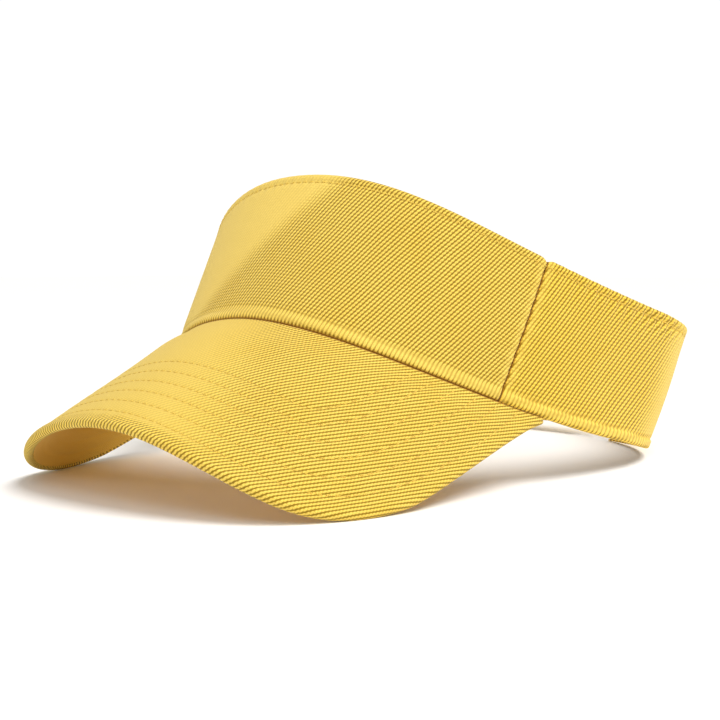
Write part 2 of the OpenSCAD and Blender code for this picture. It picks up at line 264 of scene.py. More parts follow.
@dataclass(frozen=True)
class Twill:
    """Coarse cotton twill whose steep ribs run across the cloth."""

    name: str
    rib_angle: float
    pitch: float
    rib: tuple = (0.95, 0.675, 0.11)
    # gap: the dark colour of painted shade in the hollows between the ribs.
    gap: tuple = (0.25, 0.14, 0.004)
    warm: tuple = (0.92, 0.57, 0.055)
    # flat: the smooth colour that the ribs fade into where the mask is positive; on the front, the brim and
    # the rear this is painted highlight that washes the ribs out.
    flat: tuple = (0.84, 0.61, 0.135)
    # crease: the dark colour of painted shade along the seams and where the band meets the brim.
    crease: tuple = (0.36, 0.155, 0.006)
    speckle: float = 0.2
    twist: float = 1.25
    depth: float = 0.00024

    def make(self) -> bpy.types.Material:
        """Builds the material.

        Returns:
            The new material.
        """
        s = Shader(self.name)
        along, up, painted_light_and_wear = s.cloth()
        c, k = math.cos(math.radians(self.rib_angle)), math.sin(math.radians(self.rib_angle))
        place = s.flat_point(along, up)
        drift = s.noise(place, 0.035) * 0.9
        across = (up * c - along * k) / self.pitch + drift
        down = (along * c + up * k) / self.twist
        rib = across.wave()
        slub = s.noise(s.flat_point(down * 0.12, across), 0.9, 3.0)
        bead = (down + across * 0.5).wave()
        fine = (down * 2.0 - across * 2.0).wave()
        thread = rib.power(0.8) * (bead * 0.64 + 0.49) * (slub * 0.4 + 0.8)
        rough = s.noise(place, 1.7, 3.0)
        # Painted shade: negative values of the mask give the dark crease colour along the seams and where
        # the band meets the brim.
        crease = (0.0 - painted_light_and_wear).step(0.0, 1.0)
        painted_light_and_wear = painted_light_and_wear.math("MAXIMUM", 0.0)
        grit = fine * 0.5 + rough * 0.5
        height = (thread + fine * 0.10) * (1.0 - painted_light_and_wear * 0.85) + grit * 0.22
        # Painted shade: the hollows between the ribs, and between the beads along them, take the dark gap
        # colour.
        hollow = (1.0 - thread.step(0.05, 0.66)) * (1.0 - painted_light_and_wear * 0.93)
        blotch = s.noise(place, 0.045, 3.0).step(0.35, 0.7)
        body = s.mix(blotch * 0.30, self.rib, self.warm)
        lit = s.mix((slub - 0.35) * 0.4, body, (0.95, 0.74, 0.19))
        # Painted highlight: where the mask is positive the ribs fade into the smooth flat colour, as light
        # washing them out; at pressed seam edges and the foot it is the cloth's own flattening, and on the
        # under cover it paints light and shade across the wing.
        faded_flat = s.mix(painted_light_and_wear * 0.9, lit, s.shade(self.flat, grit * self.speckle + 1.0 - self.speckle / 2.0))
        ribbed = s.mix(hollow * 0.95, faded_flat, self.gap)
        colour = s.mix(crease, ribbed, self.crease)
        s.link("Base Color", colour)
        s.link("Roughness", 0.94 - thread * 0.12)
        s.set(Sheen_Weight=0.28, Sheen_Roughness=0.5, Sheen_Tint=(1.0, 0.86, 0.5, 1.0))
        s.set(Specular_IOR_Level=0.18)
        s.bump(height, self.depth)
        return s.material


@dataclass(frozen=True)
class PlainWeave:
    """Plain woven cotton, for linings, the sweatband and interlining."""

    name: str
    colour: tuple
    dark: tuple
    pitch: float = 0.62
    depth: float = 0.00012
    sheen: float = 0.2

    def make(self) -> bpy.types.Material:
        """Builds the material.

        Returns:
            The new material.
        """
        s = Shader(self.name)
        along, up, _unused_mask = s.cloth()
        place = s.flat_point(along, up)
        weft = (along / self.pitch).wave()
        warp = (up / self.pitch).wave()
        over = (along / self.pitch * 0.5).wave() * (up / self.pitch * 0.5).wave()
        nub = s.noise(place, 0.8, 3.0)
        height = weft * 0.4 + warp * 0.4 + over * 0.3 + nub * 0.2
        blotch = s.noise(place, 0.05, 3.0) * 0.28 + 0.86
        colour = s.shade(s.mix(height.step(0.3, 0.9), self.dark, self.colour), blotch)
        s.link("Base Color", colour)
        s.link("Roughness", 0.96 - height * 0.1)
        s.set(Sheen_Weight=self.sheen, Sheen_Roughness=0.6, Specular_IOR_Level=0.2)
        s.bump(height, self.depth)
        return s.material


@dataclass(frozen=True)
class Pile:
    """Nylon hook or loop tape: a close pile of tiny hooks or loops."""

    name: str
    colour: tuple
    dark: tuple
    pitch: float
    rows: float
    depth: float

    def make(self) -> bpy.types.Material:
        """Builds the material.

        Returns:
            The new material.
        """
        s = Shader(self.name)
        along, up, _unused_mask = s.cloth()
        place = s.flat_point(along, up)
        wander = s.noise(place, 0.7, 3.0)
        hook = ((along + wander * 0.3) / self.pitch).wave() * ((up + wander * 0.3) / self.pitch).wave()
        height = hook.power(0.7) * self.rows + wander * (1.0 - self.rows)
        s.link("Base Color", s.mix(height.step(0.15, 0.8), self.dark, self.colour))
        s.link("Roughness", 0.75 - height * 0.25)
        s.set(Sheen_Weight=0.15, Specular_IOR_Level=0.4)
        s.bump(height, self.depth)
        return s.material


@dataclass(frozen=True)
class Thread:
    """Spun sewing thread, with its plies twisting along it."""

    name: str
    colour: tuple
    dark: tuple

    def make(self) -> bpy.types.Material:
        """Builds the material.

        Returns:
            The new material.
        """
        s = Shader(self.name)
        along, up, _unused_mask = s.cloth()
        ply = (along * 1.6 + up).wave()
        fuzz = s.noise(s.flat_point(along, up * 3.0), 2.2, 3.0)
        s.link("Base Color", s.mix((ply * 0.7 + fuzz * 0.3).step(0.2, 0.7), self.dark, self.colour))
        s.link("Roughness", 0.8 - ply * 0.15)
        s.set(Sheen_Weight=0.2, Specular_IOR_Level=0.3)
        s.bump(ply, 0.00006)
        return s.material


@dataclass(frozen=True)
class Board:
    """Smooth moulded brim board with a faint flow grain."""

    name: str
    colour: tuple = (0.84, 0.84, 0.82)

    def make(self) -> bpy.types.Material:
        """Builds the material.

        Returns:
            The new material.
        """
        s = Shader(self.name)
        where = s.node("ShaderNodeTexCoord", {}, {}, "Object")
        grain = s.noise(where, 260.0, 4.0)
        s.link("Base Color", s.shade(self.colour, grain * 0.12 + 0.92))
        s.link("Roughness", grain * 0.2 + 0.4)
        s.bump(grain, 0.00003)
        return s.material


@dataclass(frozen=True)
class Paper:
    """The pale seamless sweep that the visor lies on."""

    name: str
    colour: tuple = (0.96, 0.955, 0.95)

    def make(self) -> bpy.types.Material:
        """Builds the material.

        Returns:
            The new material.
        """
        s = Shader(self.name)
        where = s.node("ShaderNodeTexCoord", {}, {}, "Object")
        tooth = s.noise(where, 900.0, 2.0)
        s.link("Base Color", s.shade(self.colour, tooth * 0.01 + 0.995))
        s.set(Roughness=0.9, Specular_IOR_Level=0.15)
        return s.material


class Finish(Enum):
    """Every finish on the visor, by the record's slot that it stands for."""

    FRONT_TWILL = Twill("front_twill", 63.0, 1.27)
    # Painted light: the side panels' copy of the twill is a deeper, warmer yellow than the front's, for how
    # the light falls on the sides.
    SIDE_TWILL = Twill("side_twill", 70.0, 1.38, (0.99, 0.665, 0.075), warm=(0.97, 0.57, 0.035))
    BRIM_TWILL = Twill("brim_twill", -57.0, 1.24, flat=(0.70, 0.50, 0.10), speckle=0.42)
    # Painted shade: the under cover's copy of the twill is a browner yellow with little dark between its
    # ribs, for the warm shade under the brim.
    UNDER_TWILL = Twill(
        "under_twill", -57.0, 1.0,
        rib=(0.93, 0.62, 0.10), gap=(0.84, 0.52, 0.07), warm=(0.92, 0.58, 0.08), flat=(0.80, 0.42, 0.04),
    )
    LINING = PlainWeave("lining_cotton", (0.76, 0.50, 0.10), (0.52, 0.30, 0.03))
    SWEATBAND = PlainWeave("sweatband_cotton", (0.80, 0.54, 0.11), (0.56, 0.33, 0.04), 0.9, 0.0002)
    STIFFENER = PlainWeave("stiff_interlining", (0.82, 0.80, 0.74), (0.6, 0.58, 0.52), 0.8)
    TAPE = PlainWeave("seam_cotton", (0.74, 0.46, 0.07), (0.5, 0.27, 0.02), 0.7)
    THREAD = Thread("sewing_thread", (0.86, 0.61, 0.10), (0.60, 0.39, 0.035))
    HOOK = Pile("hook_tape", (0.62, 0.40, 0.06), (0.34, 0.19, 0.02), 0.9, 0.9, 0.0004)
    LOOP = Pile("loop_tape", (0.72, 0.47, 0.08), (0.45, 0.26, 0.03), 0.6, 0.35, 0.0003)
    BOARD = Board("brim_board_plastic")
    PAPER = Paper("pale_sweep")


class Dresser:
    """Makes each finish once and gives it to the pieces that wear it."""

    def __init__(self) -> None:
        """Starts with nothing made."""
        self.made: dict[Finish, bpy.types.Material] = {}

    def give(self, piece: bpy.types.Object, finish: Finish) -> None:
        """Gives a piece its finish.

        Args:
            piece: the piece.
            finish: its finish.
        """
        if finish not in self.made:
            self.made[finish] = finish.value.make()
        piece.data.materials.clear()
        piece.data.materials.append(self.made[finish])


DRESSER = Dresser()


# ---------------------------------------------------------------- shapes


def ease(x: np.ndarray) -> np.ndarray:
    """A smooth step from 0 to 1."""
    x = np.clip(x, 0.0, 1.0)
    return x * x * (3.0 - 2.0 * x)


def unit(v: np.ndarray) -> np.ndarray:
    """Vectors of length 1."""
    return v / np.maximum(np.linalg.norm(v, axis=-1, keepdims=True), 1e-12)


def signed_power(x: np.ndarray, p: float) -> np.ndarray:
    """A power that keeps the sign."""
    return np.sign(x) * np.abs(x) ** p


def bell(x: np.ndarray, width: float) -> np.ndarray:
    """A bell that is 1 at 0."""
    return np.exp(-((x / width) ** 2))


@dataclass(frozen=True)
class Seat:
    """How the visor leans so that both wings of the brim and the rear touch the floor."""

    lean: float = 8.76508
    floor: float = -16.9576
    middle: float = -39.0328

    def place(self, p: np.ndarray) -> np.ndarray:
        """Turns points of the band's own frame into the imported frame, in metres.

        Args:
            p: points in the band's own frame, in millimetres.

        Returns:
            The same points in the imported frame.
        """
        a = math.radians(self.lean)
        y = p[..., 1] * math.cos(a) + p[..., 2] * math.sin(a) - self.middle
        z = -p[..., 1] * math.sin(a) + p[..., 2] * math.cos(a) - self.floor
        return np.stack([p[..., 0], y, z], axis=-1) * MM


@dataclass(frozen=True)
class BandShape:
    """The band's outer face, as the angle round it, the height, and the distance out."""

    half_width: float = 85.2
    front_depth: float = 118.4
    back_depth: float = 76.0
    oval_power: float = 2.1
    side_flare: float = 7.7
    front_lean: float = 21.6
    side_lean: float = 14.4
    rear_lean: float = 15.1
    front_height: float = 75.0
    side_height: float = 38.2
    crown_power: float = 3.9
    rear_drop: float = 6.0
    seam_foot: float = 58.2
    seam_top: float = 56.4
    panel_end: float = 152.0
    strap_width: float = 26.0
    strap_lift: float = 6.0

    def wall(self, th: np.ndarray, z: np.ndarray) -> np.ndarray:
        """Points of the outer face.

        Args:
            th: angles round the band, in degrees.
            z: heights in the band's own frame.

        Returns:
            The points, in millimetres.
        """
        c = signed_power(np.cos(np.radians(th)), 2.0 / self.oval_power)
        s = signed_power(np.sin(np.radians(th)), 2.0 / self.oval_power)
        front, side, rear, flare = (
            math.tan(math.radians(a))
            for a in (self.front_lean, self.side_lean, self.rear_lean, self.side_flare)
        )
        lean = side + np.where(c > 0, (front - side) * c, (side - rear) * c)
        depth = np.where(c > 0, self.front_depth, self.back_depth)
        return np.stack([s * (self.half_width + z * flare), -c * depth + z * lean, z + 0 * th], axis=-1)

    def out(self, th: np.ndarray, z: np.ndarray) -> np.ndarray:
        """The direction out of the outer face."""
        round_it = self.wall(th + 0.5, z) - self.wall(th - 0.5, z)
        return unit(np.cross(round_it, self.wall(th, z + 1.0) - self.wall(th, z - 1.0)))

    def skin(self, th: np.ndarray, z: np.ndarray, d: np.ndarray) -> np.ndarray:
        """Points a distance out of the outer face."""
        d = np.asarray(d, float)
        return self.wall(th, z) + d[..., None] * self.out(th, z)

    def crown(self, th: np.ndarray) -> np.ndarray:
        """The top edge's height, before it narrows to the straps."""
        share = ((1.0 + np.cos(np.radians(th))) / 2.0) ** self.crown_power
        return self.side_height + (self.front_height - self.side_height) * share

    def strap_low(self) -> float:
        """The straps' lower edge."""
        return self.strap_lift - self.rear_drop

    def top(self, th: np.ndarray) -> np.ndarray:
        """The top edge's height."""
        t = ease((np.abs(th) - self.panel_end + 15.0) / 15.0)
        return self.crown(th) * (1.0 - t) + (self.strap_low() + self.strap_width + 2.0) * t

    def seam(self, z: np.ndarray) -> np.ndarray:
        """The front seam's angle at a height."""
        return self.seam_foot + (self.seam_top - self.seam_foot) * z / self.front_height

    def arc(self, th: np.ndarray) -> np.ndarray:
        """Millimetres round the band from the front to each angle, at a low height.

        Args:
            th: angles round the band, in degrees.

        Returns:
            The lengths, negative to the right of the front.
        """
        grid = np.linspace(-210.0, 210.0, 841)
        line = self.wall(grid, np.full(grid.shape, 15.0))
        steps = np.linalg.norm(np.diff(line, axis=0), axis=1)
        length = np.concatenate([[0.0], np.cumsum(steps)])
        return np.interp(th, grid, length - np.interp(0.0, grid, length))


@dataclass(frozen=True)
class BrimShape:
    """The brim's middle surface, rolled about a sloping line, and where the band meets it."""

    band: BandShape = field(default_factory=BandShape)
    join_height: float = 21.7
    pitch: float = 34.7
    radius: float = 84.5
    half_width: float = 104.5
    length: float = 69.0
    outline_back: float = 175.6
    outline_power: float = 4.65
    top_high: float = 1.4
    under_low: float = -1.4

    def start(self) -> np.ndarray:
        """The middle of the seam with the band."""
        return self.band.wall(np.array(0.0), np.array(self.join_height))

    def along(self) -> np.ndarray:
        """The direction down the brim."""
        a = math.radians(self.pitch)
        return np.array([0.0, -math.cos(a), -math.sin(a)])

    def up(self) -> np.ndarray:
        """The direction out of the brim at its middle."""
        a = math.radians(self.pitch)
        return np.array([0.0, -math.sin(a), math.cos(a)])

    def out(self, u: np.ndarray) -> np.ndarray:
        """The direction out of the brim's top.

        Args:
            u: millimetres across the brim.

        Returns:
            Vectors of length 1.
        """
        a = u / self.radius
        x = np.stack([np.sin(a), 0 * a, 0 * a], axis=-1)
        return x + np.cos(a)[..., None] * self.up()

    def point(self, u: np.ndarray, v: np.ndarray, o: np.ndarray) -> np.ndarray:
        """Points of the brim: across it, down it and out of it.

        Args:
            u: millimetres across the brim.
            v: millimetres down the brim.
            o: millimetres out of the brim's middle surface.

        Returns:
            The points, in millimetres.
        """
        a = u / self.radius
        r = self.radius + o
        x = np.stack([r * np.sin(a), 0 * a, 0 * a], axis=-1)
        rise = (r * np.cos(a) - self.radius)[..., None] * self.up()
        return self.start() + v[..., None] * self.along() + x + rise

    def height(self, x: np.ndarray, y: np.ndarray) -> np.ndarray:
        """The middle surface's height above a point of the plan.

        Args:
            x: millimetres to the left.
            y: millimetres to the back.

        Returns:
            The heights.
        """
        a = math.radians(self.pitch)
        drop = self.radius - np.sqrt(np.maximum(1.0, self.radius**2 - x * x))
        return self.join_height + (math.sin(a) * (y - self.start()[1]) - drop) / math.cos(a)

    def meet(self, th: np.ndarray) -> np.ndarray:
        """The height at which the band's outer face meets the brim.

        Args:
            th: angles round the band, in degrees.

        Returns:
            The heights.
        """
        z = np.zeros_like(th)
        for _ in range(6):
            p = self.band.wall(th, z)
            z = self.height(p[..., 0], p[..., 1])
        return z

    def seam_line(self, th: np.ndarray) -> np.ndarray:
        """The seam with the band as places across and down the brim.

        Args:
            th: angles round the band, in degrees.

        Returns:
            The places, in millimetres.
        """
        p = self.band.wall(th, self.meet(th))
        u = self.radius * np.arcsin(np.clip(p[..., 0] / self.radius, -1.0, 1.0))
        return np.stack([u, (p - self.start()) @ self.along()], axis=-1)

    def edge_down(self, u: np.ndarray) -> np.ndarray:
        """How far down the outline lies at a place across the brim."""
        rest = np.maximum(0.0, 1.0 - (np.abs(u) / self.half_width) ** self.outline_power)
        return -self.outline_back + (self.length + self.outline_back) * rest ** (1.0 / self.outline_power)

    def edge_out(self, u: np.ndarray, v: np.ndarray) -> np.ndarray:
        """The direction out of the outline, in the brim's own surface.

        Args:
            u: millimetres across the brim.
            v: millimetres down the brim.

        Returns:
            Vectors of length 1, across and down.
        """
        n, reach = self.outline_power, self.length + self.outline_back
        du = np.sign(u) * (np.abs(u) / self.half_width) ** (n - 1.0) / self.half_width
        dv = ((v + self.outline_back) / reach) ** (n - 1.0) / reach
        return unit(np.stack([du, dv], axis=-1))

    def join_end(self) -> float:
        """The angle round the band at which each wing of the brim has narrowed away.

        Returns:
            The angle, in degrees.
        """
        low, high = 45.0, 80.0
        for _ in range(40):
            mid = (low + high) / 2.0
            q = self.seam_line(np.array(mid))
            low, high = (mid, high) if self.edge_down(q[0]) - q[1] > 4.5 else (low, mid)
        return low

    def foot(self, th: np.ndarray) -> np.ndarray:
        """The band's bottom edge: on the brim in front, then a smooth sweep to the rear.

        Args:
            th: angles round the band, in degrees.

        Returns:
            The heights.
        """
        end = self.join_end()
        at = np.abs(th)
        end_z = float(self.meet(np.array(end)))
        slope = (end_z - float(self.meet(np.array(end - 1.0)))) * (180.0 - end)
        t = np.clip((np.minimum(180.0, 180.0 - np.abs(180.0 - at)) - end) / (180.0 - end), 0.0, 1.0)
        sweep = (
            (2 * t**3 - 3 * t**2 + 1) * end_z
            + (t**3 - 2 * t**2 + t) * slope
            - (3 * t**2 - 2 * t**3) * self.band.rear_drop
        )
        return np.where(at <= end, self.meet(np.minimum(at, end)), sweep)

    def sink(self, dist: np.ndarray) -> np.ndarray:
        """How far the brim dips where it is sewn to the band."""
        return -self.top_high * (1.0 - ease(dist / 14.0))


BAND = BandShape()
BRIM = BrimShape()
SEAT = Seat()
ROUND = np.linspace(-200.0, 200.0, 1601)


# ---------------------------------------------------------------- mesh making


def add_piece(name: str, points: np.ndarray, faces: np.ndarray, cloth: np.ndarray) -> bpy.types.Object:
    """Makes a smooth mesh piece.

    Args:
        name: the piece's name.
        points: its vertices, in metres.
        faces: its quads or triangles, as rows of vertex numbers.
        cloth: each vertex's place on the cut cloth, and its wear.

    Returns:
        The new object.
    """
    mesh = bpy.data.meshes.new(name)
    mesh.from_pydata(points.reshape(-1, 3).tolist(), [], faces.tolist())
    mesh.polygons.foreach_set("use_smooth", np.ones(len(mesh.polygons), bool))
    place = mesh.attributes.new("cloth", "FLOAT_VECTOR", "POINT")
    place.data.foreach_set("vector", cloth.reshape(-1).astype(np.float32))
    mesh.update()
    piece = bpy.data.objects.new(name, mesh)
    bpy.context.collection.objects.link(piece)
    return piece


def grid_faces(rows: int, columns: int, first: int, turned: bool) -> np.ndarray:
    """The quads of a grid of vertices.

    Args:
        rows: vertices one way.
        columns: vertices the other way.
        first: the first vertex's number.
        turned: whether the quads face the other way.

    Returns:
        One row of four vertex numbers for each quad.
    """
    i, k = np.meshgrid(np.arange(rows - 1), np.arange(columns - 1), indexing="ij")
    a = first + i * columns + k
    quads = np.stack([a, a + columns, a + columns + 1, a + 1], axis=-1).reshape(-1, 4)
    return quads[:, ::-1] if turned else quads


def sheet_piece(
    name: str, outer: np.ndarray, inner: np.ndarray, cloth: np.ndarray, loose: bool = False
) -> bpy.types.Object:
    """Makes a closed thin piece from its outer and inner grids.

    Args:
        name: the piece's name.
        outer: the outer face's points, along by across, in metres.
        inner: the inner face's points.
        cloth: each grid point's place on the cut cloth.
        loose: whether the grids run so that the outer face would point inward.

    Returns:
        The new object.
    """
    n, m = outer.shape[:2]
    count = n * m
    ids = np.arange(count).reshape(n, m)
    rim = np.concatenate([ids[:, 0], ids[-1, 1:], ids[-2::-1, -1], ids[0, -2:0:-1]])
    after = np.roll(rim, -1)
    band = np.stack([after, rim, rim + count, after + count], axis=-1)
    if loose:
        band = band[:, ::-1]
    faces = np.concatenate([grid_faces(n, m, 0, loose), grid_faces(n, m, count, not loose), band])
    return add_piece(
        name, np.concatenate([outer.reshape(-1, 3), inner.reshape(-1, 3)]), faces,
        np.concatenate([cloth.reshape(-1, 3), cloth.reshape(-1, 3)]),
    )


def stitches(
    name: str, path: np.ndarray, out: np.ndarray, pitch: float = 2.7, gap: float = 0.5, radius: float = 0.21
) -> bpy.types.Object:
    """Lays a row of separate sewn stitches along a path.

    Args:
        name: the piece's name.
        path: points along the cloth's face, in metres.
        out: the direction out of the cloth at each point.
        pitch: millimetres from one stitch to the next.
        gap: millimetres between two stitches.
        radius: the thread's radius in millimetres.

    Returns:
        The new object.
    """
    steps = np.linalg.norm(np.diff(path, axis=0), axis=1)
    length = np.concatenate([[0.0], np.cumsum(steps)])
    count = max(1, int(length[-1] / (pitch * MM)))
    starts = (np.arange(count) + 0.5) * length[-1] / count
    along = np.linspace(-0.5, 0.5, 7)
    reach = (pitch - gap) * MM
    s = starts[:, None] + along[None, :] * reach
    centre = np.stack([np.interp(s, length, path[:, i]) for i in range(3)], axis=-1)
    up = unit(np.stack([np.interp(s, length, out[:, i]) for i in range(3)], axis=-1))
    ahead = unit(np.gradient(centre, axis=1))
    side = unit(np.cross(ahead, up))
    arch = 1.0 - (2.0 * np.abs(along)) ** 3.0
    thick = radius * MM * np.sqrt(np.clip(1.0 - (2.0 * np.abs(along)) ** 4.0, 0.12, 1.0))
    lift = (arch * 0.75 - 0.35) * radius * MM
    turn = np.linspace(0.0, TAU, 6, endpoint=False)
    ring = (
        centre[:, :, None, :]
        + (lift[None, :, None] + thick[None, :, None] * np.sin(turn))[..., None] * up[:, :, None, :]
        + (thick[None, :, None] * 1.15 * np.cos(turn))[..., None] * side[:, :, None, :]
    )
    points = ring.reshape(-1, 3)
    k = np.arange(6)
    tube = []
    for j in range(6):
        a = j * 6 + k
        b = j * 6 + (k + 1) % 6
        tube.append(np.stack([a, b, b + 6, a + 6], axis=-1))
    quads = np.concatenate(tube)
    caps = np.array([[0, 5, 4, 3], [0, 3, 2, 1], [36, 37, 38, 39], [36, 39, 40, 41]])
    one = np.concatenate([quads, caps])
    faces = (one[None] + (np.arange(count) * 42)[:, None, None]).reshape(-1, 4)
    cloth = np.zeros((count, 7, 6, 3))
    cloth[..., 0] = (s / MM)[:, :, None]
    cloth[..., 1] = (k / 6.0)[None, None, :]
    return add_piece(name, points, faces[:, ::-1], cloth)


def soft_wave(x: np.ndarray, y: np.ndarray, seed: int, scale: float) -> np.ndarray:
    """Slow unevenness of used cloth, about -1 to 1.

    Args:
        x: millimetres along the cloth.
        y: millimetres up the cloth.
        seed: picks the pattern.
        scale: the size of its swells in millimetres.

    Returns:
        The unevenness at each place.
    """
    rng = np.random.default_rng(seed)
    total = np.zeros(np.broadcast(x, y).shape)
    for _ in range(7):
        a, f, p = rng.uniform(0, TAU), rng.uniform(0.6, 1.7) / scale, rng.uniform(0, TAU)
        total = total + np.sin((x * math.cos(a) + y * math.sin(a)) * f * TAU + p)
    return total / 4.0


def finish_piece(
    piece: bpy.types.Object, body: str, node: str, finish: Finish
) -> bpy.types.Object:
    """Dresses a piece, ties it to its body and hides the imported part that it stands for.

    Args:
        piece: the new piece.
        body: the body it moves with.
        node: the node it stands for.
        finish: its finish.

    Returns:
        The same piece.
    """
    DRESSER.give(piece, finish)
    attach(piece, body)
    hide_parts(node)
    LOG.info("%s: %d faces, on %s", piece.name, len(piece.data.polygons), body)
    return piece


def flat_size(cloth: np.ndarray) -> tuple[tuple[float, float], float]:
    """The cut cloth's width and length, and its area, in metres.

    Args:
        cloth: each grid point's place on the cut cloth, in millimetres.

    Returns:
        The width and length, and the area.
    """
    p = cloth[..., :2] * MM
    spread = p.reshape(-1, 2).max(axis=0) - p.reshape(-1, 2).min(axis=0)
    a, b = p[1:, 1:] - p[:-1, :-1], p[1:, :-1] - p[:-1, 1:]
    area = float(np.abs(a[..., 0] * b[..., 1] - a[..., 1] * b[..., 0]).sum() / 2.0)
    flat = (round(float(spread[0]), 4), round(float(spread[1]), 4))
    return flat, min(area, 0.999 * flat[0] * flat[1])


def cut(cloth: np.ndarray) -> None:
    """Works out the size and area that a piece's cut coordinates give; nothing is done with them."""
    flat, area = flat_size(cloth)


# ---------------------------------------------------------------- the band


@dataclass
class Band:
    """The standing band: panels, stiffener, linings, sweatband and their stitching."""

    cloth: float = 0.6
    stiff: float = 0.6
    lining: float = 0.5
    gap: float = 0.05
    hem: float = 11.0
    sweat_width: float = 27.0
    sweat_thick: float = 2.0
    seam_roll: float = 1.15
    foot_roll: float = 1.35
    side_strip: float = 3.8
    slit: float = 0.06

    def layers(self) -> tuple[float, float]:
        """The innermost faces of the front facing and the side facing.

        Returns:
            The two distances out of the outer face, both negative.
        """
        front = -(2 * self.cloth + self.stiff + self.lining + 3 * self.gap)
        side = -(2 * self.cloth + self.lining + 2 * self.gap)
        return front, side

    def sway(self, th: np.ndarray, z: np.ndarray) -> np.ndarray:
        """How far used cloth stands out of the true shape, in every layer alike.

        Args:
            th: angles round the band, in degrees.
            z: heights in the band's own frame.

        Returns:
            The distances, in millimetres.
        """
        rise = ease((z - BRIM.foot(th)) / 9.0)
        fade = 1.0 - ease((np.abs(th) - 140.0) / 10.0)
        return 0.42 * soft_wave(BAND.arc(th), z, 11, 62.0) * rise * fade

    def skin(self, th: np.ndarray, z: np.ndarray, d: np.ndarray) -> np.ndarray:
        """Points of a layer, swayed and seated, in metres."""
        th, z, d = np.broadcast_arrays(th, z, d)
        return SEAT.place(BAND.skin(th, z, d + self.sway(th, z)))

    def panel(self, name: str, low: float, high: float, columns: int, inn: float) -> tuple:
        """Builds one outer panel: rolled foot, face, hem over the top, and facing.

        Args:
            name: the piece's name.
            low: -1, 0 or 1, where the panel starts: -1 and 1 are the front seams.
            high: where it ends; 2 or -2 is the rear end.
            columns: how many columns lie between its edges.
            inn: its facing's innermost distance.

        Returns:
            The new object and its cut coordinates.
        """
        def angle(end: float, z: np.ndarray) -> np.ndarray:
            """The angle of an end at a height."""
            if abs(end) == 2:
                return np.sign(end) * BAND.panel_end + 0 * z
            out = self.slit if name.startswith("front") else -self.slit
            return np.sign(end) * (BAND.seam(z) - out)

        zero = np.array(0.0)
        a, b = float(angle(low, zero)), float(angle(high, zero))
        whole = abs(float(BAND.arc(np.array(b)) - BAND.arc(np.array(a))))
        close = np.array([0.0, 0.12, 0.3, 0.55, 0.85, 1.2, 1.7])
        along = np.concatenate([close, np.linspace(2.4, whole - 2.4, columns), (whole - close)[::-1]])
        start_arc = BAND.arc(np.array(a))
        th0 = np.interp(start_arc + np.sign(b - a) * along, BAND.arc(ROUND), ROUND)[:, None]
        f = (th0 - a) / (b - a)
        edge = np.minimum(along if abs(low) == 1 else whole, (whole - along) if abs(high) == 1 else whole)
        edge = edge[:, None]
        r, r0, t = -inn / 2.0, self.foot_roll, self.cloth
        z0 = BRIM.foot(th0)
        z1 = BAND.top(th0) - 0.7 * bell(edge, 1.3)
        w = np.clip(z1 - z0 - self.sweat_width - 1.5, 1.5, self.hem)
        s0 = np.radians(np.linspace(-85.0, 0.0, 8)[:-1])[None, :]
        q = np.linspace(0.0, 1.0, 74)[None, :]
        q = q - 0.075 * np.sin(TAU * q)
        s1 = np.radians(np.linspace(0.0, 180.0, 14)[1:-1])[None, :]
        q3 = np.linspace(0.0, 1.0, 9)[None, :]
        one = np.ones_like(th0)
        lo, hi = z0 + r0, z1 - r
        z_out = [lo + r0 * np.sin(s0), lo + (hi - lo) * q, hi + r * np.sin(s1), hi - w * q3]
        z_in = [lo + (r0 - t) * np.sin(s0), lo + (hi - lo) * q, hi + (r - t) * np.sin(s1), hi - w * q3]
        d_out = [one * (r0 * np.cos(s0) - r0), one * 0 * q, one * (r * np.cos(s1) - r), one * (inn + 0 * q3)]
        d_in = [
            one * ((r0 - t) * np.cos(s0) - r0), one * (0 * q - t),
            one * ((r - t) * np.cos(s1) - r), one * (inn + t + 0 * q3),
        ]
        up = [
            r0 * s0 + 0 * one, (hi - lo) * q, (hi - lo) + r * s1,
            (hi - lo) + r * math.pi + w * q3,
        ]
        zo, zi, do, di, up = (np.concatenate(v, axis=1) for v in (z_out, z_in, d_out, d_in, up))
        th_o = a + (b - a) * f + 0 * zo
        for end, k in ((low, 1.0 - f), (high, f)):
            if abs(end) == 1:
                th_o = th_o + k * (angle(end, zo) - angle(end, zero))
        seen = np.ones(s0.shape[1] + q.shape[1] + 7)
        face = np.concatenate([seen, np.linspace(1, 0, 5), np.zeros(9)])[None]
        wide = BAND.arc(th_o)
        shift = self.relief(wide, up, np.minimum(edge, 60.0), zo - z0, z1 - zo, th_o) * face
        roll = np.clip(1.0 - edge / self.seam_roll, 0.0, 1.0)
        shift = shift - self.seam_roll * (1.0 - np.sqrt(1.0 - roll**2)) * face * 0.92
        outer = self.skin(th_o, zo, do + shift)
        inner = self.skin(th_o, zi, di + shift)
        strip = 3.2 if name.startswith("front") else self.side_strip
        turn = np.clip((up - strip + 1.4) / 2.4, 0.0, 1.0)
        past = np.maximum(0.0, up - strip - 1.0)
        squeeze = 0.25 * up + 0.75 * (2.4 * (turn**3 - turn**4 / 2.0) + past)
        # Painted highlight: the ribs fade flat on the right of the front and at the rear; the pressed foot
        # and seam edges are the cloth's own flattening.
        painted_light_and_wear = self.painted_light_and_wear(wide, zo, name.startswith("front")) * ease((up - 2.0) / 2.5)
        at_foot = 0.5 * (1.0 - ease((up - 1.6) / 3.0)) * ease((up + 0.8) / 1.2)
        pressed = np.maximum(at_foot, 0.4 * bell(edge - 1.4, 1.3))
        painted_light_and_wear = np.maximum(painted_light_and_wear, pressed * face)
